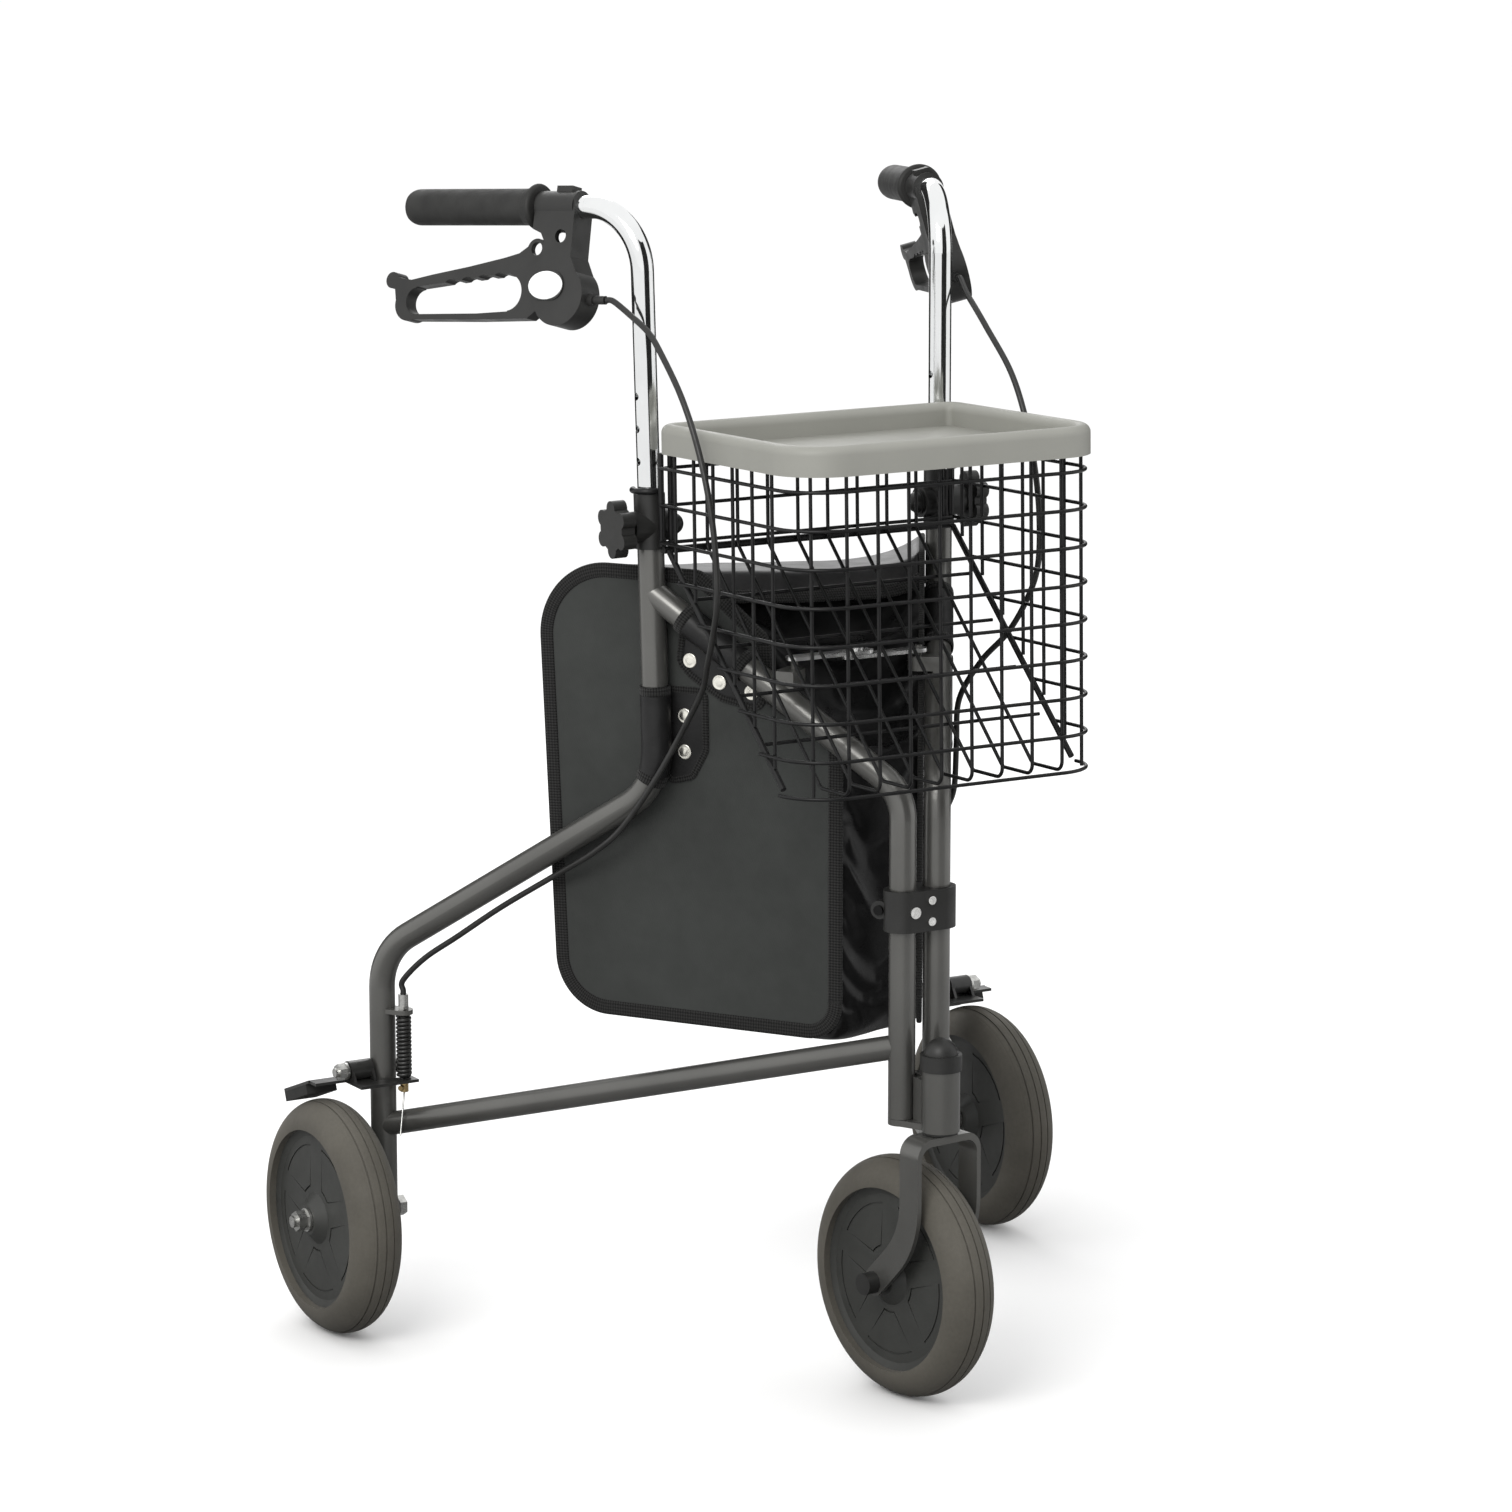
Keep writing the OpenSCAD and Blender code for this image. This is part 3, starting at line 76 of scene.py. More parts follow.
# Route of the right brake cable: along the side frame, outside its plane and up, in millimetres
CABLE_ROUTE = (
    (258.25, 15.49, 887.22), (250.96, 16.98, 886.87), (233, 22, 877), (213, 30, 865.5), (197.5, 39, 851.5),
    (169, 58, 820), (149, 70, 785), (134.5, 78, 745), (126.5, 82, 705), (125, 81, 665), (133, 72, 635),
    (146, 57, 606), (161.5, 36, 580), (188, 18, 543), (214, 16, 500), (246, 14.5, 456), (276, 8, 431),
    (321.32, 0, 403.3), (368.84, 0, 373.6), (411.08, 0, 344.2), (442.76, 0, 322.4), (464.3, 0, 301),
    (464.3, 0, 292), (464.3, 0, 285.3),
)

# Corners of the bag's side panel along the frame and up, with their radius, in millimetres
PANEL_CORNERS = (
    (61, 290, 30), (321, 290, 48), (339, 668, 62), (188, 668, 14),
    (126, 617, 14), (124, 573, 12), (61, 541, 14),
)

# Outlines of the flaps that hold the bag to the upright and the diagonal tube
UPRIGHT_TAB = (
    (181, 520, 12), (194, 496, 10), (214, 491, 6), (229, 505, 6), (229, 571, 4), (182, 571, 8),
)
DIAGONAL_TAB = (
    (205, 593, 7), (196, 584, 8), (168, 567, 10), (132, 560, 7), (136, 594, 5), (200, 634, 5),
)
STUDS = ((202, 548), (202, 518), (197, 594), (170, 578), (141, 572))

# Axis of the diagonal tube where its flap wraps it, and of the upright, which bends below its straight run
DIAGONAL_SLEEVE = ((138.6, 593.6), (197.3, 631.6))
UPRIGHT_SLEEVE = ((221.94, 520.55), (223.5, 573))
BEND_CENTRE = (276.91, 518.91)
BEND_RADIUS = 55.0
BEND_START = 178.3
BEND_TURN = 29.0

# Radii in millimetres of the flaps' cloth round a tube, inside and outside, and of the bands at their ends
SLEEVE_IN = 11.1
SLEEVE_OUT = 12.6
BAND_OUT = 13.0

# How far in millimetres a binding stands out past the edge that it folds round
TAPE_PROUD = 0.8

# Height in millimetres down to which the lid reaches
LID_FOOT = 650.0

# Depth in metres that parts the hinge block's ears from its face, and the height where the brass clamp ends
EAR_Y = -0.215
CLAMP_FOOT = 0.204

# Half length and half height of the lever's oval badge, and its distance out from the pivot, in millimetres
BADGE = (17.4, 11.6)
BADGE_FACE = 12.8

# Dark cards that only reflections see: turns from the camera's side to the right in degrees, and height
CARDS = ((14, 66, 2.6), (118, 160, 2.2), (-165, -118, 2.2))
CARD_REACH = 2.3

# Directions of the right brake lever: along the handle, out of its face and up
LEVER_AXES = ((-0.383466, 0.921787, -0.057114), (-0.898623, -0.358128, 0.253417), (0.213143, 0.1485, 0.96567))


def colour(name, description, default):
    return FloatVectorProperty(
        name=name, description=description, subtype="COLOR", size=3, min=0, max=1, default=default)


def distance(name, description, default, low, high):
    return FloatProperty(
        name=name, description=description, subtype="DISTANCE", unit="LENGTH",
        default=default, min=low, max=high)


class RollatorFinishes(bpy.types.PropertyGroup):
    """Colours of the painted, moulded and woven surfaces"""

    frame_grey: colour("Frame grey", "Metallic paint of the frame tubes", (0.118, 0.117, 0.11))
    tray_grey: colour("Tray grey", "Moulded plastic of the tray", (0.27, 0.27, 0.245))
    tyre_taupe: colour("Tyre taupe", "Solid rubber of the tyres", (0.098, 0.091, 0.076))
    rim_black: colour("Rim black", "Moulded plastic of the rims", (0.036, 0.037, 0.034))
    plastic_black: colour(
        "Plastic black", "Moulded plastic of levers, collars, knobs and caps", (0.016, 0.016, 0.0152))
    panel_charcoal: colour("Panel charcoal", "Woven cloth of the bag's side panels", (0.036, 0.0385, 0.0365))
    coat_black: colour("Coat black", "Coated cloth of the bag's body and flaps", (0.007, 0.007, 0.0072))


class RollatorBag(bpy.types.PropertyGroup):
    """Sizes of the sewn bag"""

    inset: distance("Inset", "Frame plane to the outer face of the side panels", 0.0126, 0.012, 0.02)
    panel: distance("Panel", "Thickness of the stiffened side panels", 0.0024, 0.001, 0.006)
    binding: distance("Binding", "Width of the woven tape along the edges", 0.0124, 0.005, 0.02)
    binding_t: distance("Binding thickness", "Thickness over the folded tape", 0.0048, 0.002, 0.008)
    sag: distance("Sag", "Fall of the lid between the side panels", 0.019, 0, 0.04)
    lip: distance("Lip", "Width of the tape along the lid's front edge", 0.0125, 0.006, 0.02)
    slack: FloatProperty(
        name="Slack", description="Extra cloth that makes the body crease",
        subtype="FACTOR", default=0.035, min=0, max=0.1)
    settle: IntProperty(
        name="Settle", description="Steps that the cloth takes to hang", default=22, min=1, max=60)
    stud: distance("Stud", "Diameter of the press studs", 0.0126, 0.005, 0.015)


class RollatorStage(bpy.types.PropertyGroup):
    """Camera and light"""

    azimuth: FloatProperty(
        name="Azimuth", description="Camera's turn round the object", subtype="ANGLE", unit="ROTATION",
        default=math.radians(-30.74))
    elevation: FloatProperty(
        name="Elevation", description="Camera's height above the horizon", subtype="ANGLE", unit="ROTATION",
        default=math.radians(11.0))
    distance: distance("Distance", "Camera to the point that it looks at", 4.555, 1, 20)
    target: FloatVectorProperty(
        name="Target", description="Point that the camera looks at", subtype="TRANSLATION", unit="LENGTH",
        size=3, default=(-0.03398, -0.00998, 0.50231))
    lens: FloatProperty(
        name="Lens", description="Focal length in millimetres on a 36 mm sensor",
        default=131.0, min=20, max=300)
    key: FloatProperty(
        name="Key", description="Power of the large soft light in watts", default=62.0, min=0, max=1000)
    sky: FloatProperty(
        name="Sky", description="Strength of the even white light all round", default=1.08, min=0, max=5)
    floor: colour("Floor", "Colour of the floor", (0.95, 0.95, 0.95))


def on_side(left, along, out, up):
    """Point of a side frame in metres, from millimetres along it, outside its plane and up."""
    x = HINGE.x - MM * (along * math.sin(OPEN) + out * math.cos(OPEN))
    y = HINGE.y + MM * (along * math.cos(OPEN) - out * math.sin(OPEN))
    return Vector((-x if left else x, y, up * MM))


def mesh_piece(name, verts, faces, material, uvs=None):
    """New mesh object with its material, smooth faces and one coordinate pair for each vertex."""
    mesh = bpy.data.meshes.new(name)
    mesh.from_pydata([tuple(v) for v in verts], [], faces)
    mesh.materials.append(material)
    mesh.polygons.foreach_set("use_smooth", [True] * len(mesh.polygons))
    if uvs:
        layer = mesh.uv_layers.new(name="cloth")
        for loop in mesh.loops:
            layer.data[loop.index].uv = uvs[loop.vertex_index]
    mesh.update()
    piece = bpy.data.objects.new(name, mesh)
    bpy.context.scene.collection.objects.link(piece)
    return piece


def turn_out(faces, left):
    """Faces of a mirrored copy run the other way round."""
    return [tuple(reversed(f)) for f in faces] if left else faces


def rounded_outline(corners, step=3.0):
    """Closed outline through corners with radii, as points about a step apart."""
    points = []
    count = len(corners)
    for i, (x, y, r) in enumerate(corners):
        corner = Vector((x, y))
        back = Vector(corners[i - 1][:2]) - corner
        on = Vector(corners[(i + 1) % count][:2]) - corner
        back.normalize()
        on.normalize()
        half = back.angle(on) / 2
        reach = r / math.tan(half)
        centre = corner + (back + on).normalized() * (r / math.sin(half))
        start = corner + back * reach - centre
        end = corner + on * reach - centre
        turn = start.angle_signed(end)
        steps = max(2, int(abs(turn) * r / step) + 1)
        for k in range(steps + 1):
            points.append(centre + Matrix.Rotation(-turn * k / steps, 2) @ start)
    spaced = []
    for i, p in enumerate(points):
        q = points[(i + 1) % len(points)]
        pieces = max(1, round((q - p).length / step))
        spaced += [p.lerp(q, k / pieces) for k in range(pieces)]
    return spaced


def smooth_route(points, steps):
    """Points along a smooth curve through the given ones."""
    route = []
    last = len(points) - 1
    for i in range(last):
        a, b, c, d = (points[max(i - 1, 0)], points[i], points[i + 1], points[min(i + 2, last)])
        for k in range(steps):
            t = k / steps
            route.append(0.5 * (2 * b + (c - a) * t + (2 * a - 5 * b + 4 * c - d) * t ** 2
                                + (3 * b - a - 3 * c + d) * t ** 3))
    return route + [points[last]]


def ring_faces(rings, sides, closed=False, turned=False):
    """Faces between rings of points that follow each other, looking out, or in when turned."""
    faces = []
    for i in range(rings if closed else rings - 1):
        a, b = i * sides, (i + 1) % rings * sides
        for k in range(sides):
            j = (k + 1) % sides
            faces.append((a + k, b + k, b + j, a + j) if turned else (a + k, a + j, b + j, b + k))
    return faces


def tape_section(width, thick):
    """Points round the flattened section of a folded tape."""
    section = []
    for k in range(14):
        a = 2 * math.pi * k / 14
        x = math.copysign(abs(math.cos(a)) ** 0.35, math.cos(a))
        y = math.copysign(abs(math.sin(a)) ** 0.6, math.sin(a))
        section.append((x * width / 2, y * thick / 2))
    return section


def swept_tube(name, path, radius, sides, material):
    """Round tube along a path, closed at both ends."""
    verts, uvs = [], []
    tangent = (path[1] - path[0]).normalized()
    across = tangent.orthogonal().normalized()
    run = 0.0
    for i, p in enumerate(path):
        tangent = (path[min(i + 1, len(path) - 1)] - path[max(i - 1, 0)]).normalized()
        across = (across - across.dot(tangent) * tangent).normalized()
        up = tangent.cross(across)
        run += (p - path[i - 1]).length if i else 0
        for k in range(sides):
            a = 2 * math.pi * k / sides
            verts.append(p + radius * (math.cos(a) * across + math.sin(a) * up))
            uvs.append((run, k / sides))
    faces = ring_faces(len(path), sides)
    faces.append(tuple(reversed(range(sides))))
    faces.append(tuple(range((len(path) - 1) * sides, len(path) * sides)))
    return mesh_piece(name, verts, faces, material, uvs=uvs)


def tape_rings(outline, width, thick, place):
    """Folded tape round a closed outline: verts, faces and coordinates along and across it, in metres."""
    section = tape_section(width, thick)
    verts, uvs = [], []
    run = 0.0
    count = len(outline)
    for i, p in enumerate(outline):
        tangent = (outline[(i + 1) % count] - outline[i - 1]).normalized()
        outward = Vector((tangent.y, -tangent.x))
        run += (p - outline[i - 1]).length if i else 0
        for x, y in section:
            q = p + outward * (x - width / 2 + TAPE_PROUD)
            verts.append(place(q.x, y, q.y))
            uvs.append((run * MM, x * MM))
    return verts, ring_faces(count, len(section), closed=True), uvs


def cloth_plate(outline, thick, place, rings=(0.985, 0.93, 0.8, 0.6, 0.4, 0.2)):
    """Closed flat plate with rounded edges inside an outline: verts and faces."""
    centre = sum(outline, Vector((0, 0))) / len(outline)
    count = len(outline)
    block = count * len(rings) + 1
    verts = [place(p.x, 0.0, p.y) for p in outline]
    faces = []
    for side, turn in enumerate((1, -1)):
        for r, share in enumerate(rings):
            swell = thick / 2 * (0.75 if r == 0 else 1.0)
            for p in outline:
                q = centre + (p - centre) * share
                ripple = 0.25 * noise.noise(Vector((q.x * 0.02, q.y * 0.02, 3.0))) if r else 0
                verts.append(place(q.x, turn * swell + ripple, q.y))
        verts.append(place(centre.x, turn * thick / 2, centre.y))
        starts = [0] + [count + side * block + r * count for r in range(len(rings))]
        for a, b in zip(starts, starts[1:]):
            for i in range(count):
                j = (i + 1) % count
                faces.append((a + i, a + j, b + j, b + i)[::turn])
        tip = count + side * block + count * len(rings)
        for i in range(count):
            faces.append((starts[-1] + i, starts[-1] + (i + 1) % count, tip)[::turn])
    return verts, faces


def joined(*parts):
    """Verts, faces and coordinates of several parts as one."""
    verts, faces, uvs = [], [], []
    for v, f, *rest in parts:
        start = len(verts)
        verts += v
        faces += [tuple(start + i for i in face) for face in f]
        uvs += rest[0] if rest else [(0, 0)] * len(v)
    return verts, faces, uvs


class Finish:
    """A procedural material that is put together step by step."""

    def __init__(self, name, colour, metallic=0.0, rough=0.5, specular=0.5, coat=0.0, coat_rough=0.1,
                 sheen=0.0, space="Object"):
        self.material = bpy.data.materials.new(name)
        self.material.use_nodes = True
        self.tree = self.material.node_tree
        self.shader = self.tree.nodes["Principled BSDF"]
        self.shader.inputs["Base Color"].default_value = (*colour, 1)
        self.shader.inputs["Metallic"].default_value = metallic
        self.shader.inputs["Roughness"].default_value = rough
        self.shader.inputs["Specular IOR Level"].default_value = specular
        self.shader.inputs["Coat Weight"].default_value = coat
        self.shader.inputs["Coat Roughness"].default_value = coat_rough
        self.shader.inputs["Sheen Weight"].default_value = sheen
        self.colour = colour
        coords = self.node("ShaderNodeTexCoord")
        self.place = coords.outputs[space]
        self.height = None

    def node(self, kind, **settings):
        made = self.tree.nodes.new(kind)
        for key, value in settings.items():
            setattr(made, key, value)
        return made

    def link(self, a, b):
        self.tree.links.new(a, b)

    def math(self, operation, a, b=0.0):
        made = self.node("ShaderNodeMath", operation=operation)
        for socket, value in zip(made.inputs, (a, b)):
            if isinstance(value, (int, float)):
                socket.default_value = value
            else:
                self.link(value, socket)
        return made.outputs[0]

    def span(self, value, low, high, start=0.0, end=1.0):
        made = self.node("ShaderNodeMapRange")
        self.link(value, made.inputs["Value"])
        made.inputs["From Min"].default_value = start
        made.inputs["From Max"].default_value = end
        made.inputs["To Min"].default_value = low
        made.inputs["To Max"].default_value = high
        return made.outputs["Result"]

    def noise(self, scale, detail=3.0, rough=0.55, stretch=None):
        made = self.node("ShaderNodeTexNoise")
        made.inputs["Scale"].default_value = scale
        made.inputs["Detail"].default_value = detail
        made.inputs["Roughness"].default_value = rough
        place = self.place
        if stretch:
            place = self.mapped(scale=stretch)
        self.link(place, made.inputs["Vector"])
        return made.outputs["Fac"]

    def cells(self, scale):
        made = self.node("ShaderNodeTexVoronoi")
        made.inputs["Scale"].default_value = scale
        self.link(self.place, made.inputs["Vector"])
        return made.outputs["Distance"]

    def mapped(self, location=(0, 0, 0), rotation=(0, 0, 0), scale=(1, 1, 1)):
        made = self.node("ShaderNodeMapping")
        made.inputs["Location"].default_value = location
        made.inputs["Rotation"].default_value = rotation
        made.inputs["Scale"].default_value = scale
        self.link(self.place, made.inputs["Vector"])
        return made.outputs["Vector"]

    def axes(self, vector):
        made = self.node("ShaderNodeSeparateXYZ")
        self.link(vector, made.inputs[0])
        return made.outputs

    def tint(self, value, dark, light, start=0.3, end=0.7):
        """Colour that runs between shares of the base colour with a value."""
        made = self.node("ShaderNodeMix", data_type="RGBA")
        self.link(self.span(value, 0, 1, start, end), made.inputs["Factor"])
        for socket, share in (("A", dark), ("B", light)):
            shade = share if hasattr(share, "__len__") else [c * share for c in self.colour]
            next(s for s in made.inputs if s.name == socket and s.type == "RGBA").default_value = (*shade, 1)
        result = next(s for s in made.outputs if s.type == "RGBA")
        self.link(result, self.shader.inputs["Base Color"])
        return self

    def rough(self, value, low, high, start=0.3, end=0.7):
        self.link(self.span(value, low, high, start, end), self.shader.inputs["Roughness"])
        return self

    def relief(self, value, depth, strength=1.0):
        """Bump that is laid over the ones before it."""
        made = self.node("ShaderNodeBump")
        made.inputs["Strength"].default_value = strength
        made.inputs["Distance"].default_value = depth
        self.link(value, made.inputs["Height"])
        if self.height:
            self.link(self.height, made.inputs["Normal"])
        self.height = made.outputs["Normal"]
        self.link(self.height, self.shader.inputs["Normal"])
        return self


def metallic_paint(colours):
    f = Finish("frame metallic paint", colours.frame_grey, metallic=0.6, coat=0.35, coat_rough=0.16)
    flake = f.noise(2600, 1)
    mottle = f.math("ADD", f.noise(9, 3), f.math("MULTIPLY", flake, 0.5))
    f.tint(mottle, 0.84, 1.22, 0.45, 1.05).rough(f.noise(40, 4), 0.28, 0.39)
    return f.relief(flake, 0.00004, 0.35).relief(f.noise(380, 2), 0.00006, 0.25).material


def chrome_plate():
    f = Finish("chrome plate", (0.83, 0.84, 0.84), metallic=1.0, rough=0.07)
    return f.tint(f.noise(30, 4), 0.95, 1.03).rough(f.noise(220, 4, 0.7, (1, 1, 0.12)), 0.045, 0.13).relief(
        f.noise(900, 2, 0.6, (1, 1, 0.05)), 0.00001, 0.2).material


def moulded_black(colours, name="moulded black plastic", rough=(0.36, 0.5), grain=1500):
    f = Finish(name, colours.plastic_black, specular=0.45)
    return f.tint(f.noise(25, 4), 0.8, 1.3).rough(f.noise(60, 4), *rough).relief(
        f.cells(grain), 0.00005, 0.35).relief(f.noise(160, 3), 0.00008, 0.25).material


def grip_rubber(colours):
    f = Finish("grip rubber", colours.plastic_black, specular=0.35)
    return f.tint(f.noise(35, 5), 0.85, 1.5).rough(f.noise(90, 4), 0.5, 0.68).relief(
        f.cells(820), 0.00012, 0.5).relief(f.noise(70, 4), 0.0002, 0.3).material


def tyre_rubber(colours, name, centre, turn):
    """Rubber with fine moulded lines round the tread, about the wheel's own axis."""
    f = Finish(name, colours.tyre_taupe, specular=0.3, sheen=0.05)
    middle = Matrix.Rotation(-turn, 3, "Z") @ Vector(centre)
    wheel = f.mapped(location=tuple(-middle), rotation=(0, 0, -turn))
    x, y, z = f.axes(wheel)
    radius = f.math("SQRT", f.math("ADD", f.math("MULTIPLY", y, y), f.math("MULTIPLY", z, z)))
    across = f.math("ARCTAN2", x, f.math("SUBTRACT", radius, 0.077))
    lines = f.math("ABSOLUTE", f.math("SINE", f.math("MULTIPLY", across, 21.0)))
    shoulder = f.span(f.math("ABSOLUTE", across), 1, 0, 0.55, 0.75)
    tread = f.math("MULTIPLY", f.math("POWER", lines, 0.3), shoulder)
    f.tint(f.math("ADD", f.noise(14, 5), f.math("MULTIPLY", f.noise(300, 3), 0.3)), 0.82, 1.2, 0.45, 0.95)
    return f.rough(f.noise(45, 4), 0.62, 0.8).relief(tread, 0.0003, 0.5).relief(
        f.noise(900, 3), 0.00008, 0.3).material


def rim_plastic(colours):
    f = Finish("rim plastic", colours.rim_black, specular=0.45)
    return f.tint(f.noise(18, 4), 0.85, 1.25).rough(f.noise(50, 4), 0.4, 0.55).relief(
        f.cells(1300), 0.00006, 0.35).material


def zinc_plate():
    f = Finish("zinc plate", (0.62, 0.62, 0.6), metallic=1.0)
    return f.tint(f.noise(180, 4), 0.75, 1.1).rough(f.noise(260, 4), 0.2, 0.42).relief(
        f.noise(1400, 2), 0.00003, 0.3).material


def dipped_wire(colours):
    f = Finish("dipped black wire", colours.coat_black, specular=0.3)
    return f.tint(f.noise(45, 4), 0.7, 1.3).rough(f.noise(120, 4), 0.3, 0.46).relief(
        f.noise(420, 3), 0.00012, 0.35).material


def enamel_black(colours):
    f = Finish("brake enamel", colours.plastic_black, specular=0.5, coat=0.2, coat_rough=0.15)
    return f.tint(f.noise(60, 5), 0.7, 1.5).rough(f.noise(140, 4), 0.26, 0.45).relief(
        f.noise(500, 2), 0.00006, 0.3).material


def tray_plastic(colours):
    f = Finish("tray plastic", colours.tray_grey, specular=0.4)
    return f.tint(f.noise(7, 5), 0.93, 1.06).rough(f.noise(30, 4), 0.42, 0.54).relief(
        f.cells(1100), 0.00007, 0.35).relief(f.noise(20, 2), 0.0003, 0.12).material


def cable_vinyl(colours):
    f = Finish("cable vinyl", colours.plastic_black, specular=0.45)
    return f.tint(f.noise(80, 4), 0.75, 1.3).rough(f.noise(200, 4), 0.3, 0.46).relief(
        f.noise(900, 2), 0.00004, 0.3).material


def clamp_brass():
    """Brass clamp with the bright steel tail of the cable below it."""
    f = Finish("brass clamp and steel tail", (0.62, 0.45, 0.2), metallic=1.0)
    tail = f.span(f.axes(f.place)[2], 1, 0, CLAMP_FOOT - 0.0005, CLAMP_FOOT + 0.0005)
    shade = f.math("ADD", tail, f.math("MULTIPLY", f.noise(220, 4), 0.12))
    f.tint(shade, 0.9, (0.72, 0.72, 0.7), 0.0, 1.0).rough(f.noise(320, 4), 0.22, 0.4)
    return f.relief(f.noise(1500, 2), 0.00003, 0.3).material


def hinge_zinc():
    """Bright screws on the front of the hinge block, with the ear pivots blacked."""
    f = Finish("hinge screw zinc", (0.84, 0.84, 0.82), metallic=1.0)
    ear = f.span(f.axes(f.place)[1], 0, 1, EAR_Y - 0.001, EAR_Y + 0.001)
    shade = f.math("ADD", ear, f.math("MULTIPLY", f.noise(180, 4), 0.06))
    f.tint(shade, 1.05, (0.02, 0.02, 0.02), 0.0, 1.0).rough(f.noise(260, 4), 0.14, 0.28)
    return f.relief(f.noise(1400, 2), 0.00003, 0.2).material


def link_steel():
    f = Finish("polished link steel", (0.76, 0.76, 0.75), metallic=1.0)
    return f.tint(f.noise(24, 3), 0.92, 1.06).rough(f.noise(18, 2), 0.24, 0.32).material


def panel_cloth(colours):
    """Close plain weave, stiff and dull."""
    f = Finish("woven side panel", colours.panel_charcoal, specular=0.25, sheen=0.12)
    x, y, z = f.axes(f.mapped(rotation=(0, 0, OPEN), scale=(6300, 6300, 6300)))
    weave = f.math("MULTIPLY", f.math("SINE", f.math("ADD", x, y)), f.math("SINE", z))
    f.tint(f.math("ADD", f.noise(11, 4), f.math("MULTIPLY", weave, 0.12)), 0.86, 1.14, 0.3, 0.75)
    f.rough(f.noise(60, 3), 0.72, 0.88).relief(weave, 0.00012, 0.4)
    return f.relief(f.noise(30, 3), 0.0004, 0.15).material


def coated_cloth(colours, name="coated bag cloth", rough=(0.24, 0.4), gloss=0.45, painted_reflection_lift=1.0):
    """Shiny coated cloth with a fine pebble and soft creases, its colour raised by a factor that paints a
    reflection where it is above one.
    """
    f = Finish(name, [c * painted_reflection_lift for c in colours.coat_black], specular=gloss)
    creases = f.noise(26, 5, 0.6, (1, 1, 1.8))
    return f.tint(f.noise(20, 4), 0.7, 1.6).rough(f.noise(35, 5), *rough).relief(
        creases, 0.003, 0.3).relief(f.cells(1250), 0.00009, 0.4).material


def ribbed_tape():
    """Woven binding: ribs across the tape and a row of stitches near its inner edge, with painted highlight
    on the raised ribs and painted shade between them.
    """
    f = Finish("ribbed binding tape", (0.0105, 0.0105, 0.0102), specular=0.2, sheen=0.08, space="UV")
    along, across, _ = f.axes(f.place)
    rib = f.math("ABSOLUTE", f.math("SINE", f.math("MULTIPLY", along, 1350.0)))
    yarn = f.math("SINE", f.math("MULTIPLY", across, 2400.0))
    near = f.math("LESS_THAN", f.math("ABSOLUTE", f.math("ADD", across, 0.0042)), 0.00035)
    dashes = f.math("GREATER_THAN", f.math("SINE", f.math("MULTIPLY", along, 1570.0)), -0.3)
    stitch = f.math("MULTIPLY", near, dashes)
    ribs = f.math("ADD", rib, f.math("MULTIPLY", yarn, 0.35))
    # Colour follows the rib and yarn relief: lighter on the crests as painted highlight, darker in the
    # troughs as painted shade; the stitches are darker still.
    f.tint(f.math("SUBTRACT", ribs, f.math("MULTIPLY", stitch, 0.4)), 0.3, 2.5, 0.1, 1.1)
    f.shader.inputs["Roughness"].default_value = 0.85
    return f.relief(f.math("ADD", rib, f.math("MULTIPLY", yarn, 0.3)), 0.0005, 0.8).relief(
        stitch, 0.0004, 0.6).material


def badge_enamel():
    f = Finish("pale badge", (0.92, 0.93, 0.93), specular=0.5, coat=0.4, coat_rough=0.08)
    return f.tint(f.noise(120, 4), 0.94, 1.04).rough(f.noise(240, 3), 0.18, 0.3).relief(
        f.noise(700, 2), 0.00002, 0.3).material


def stud_nickel():
    f = Finish("pale nickel stud", (0.9, 0.88, 0.8), metallic=1.0)
    return f.tint(f.noise(300, 4), 0.85, 1.06).rough(f.noise(420, 3), 0.18, 0.34).relief(
        f.noise(1500, 2), 0.00003, 0.3).material


def dress(material, *names):
    """Gives CAD nodes their finish."""
    for name in names:
        materials = frame["nodes"][name].data.materials
        materials.clear()
        materials.append(material)


def both(*names):
    return [f"{side}_{name}" for side, _ in SIDES for name in names]


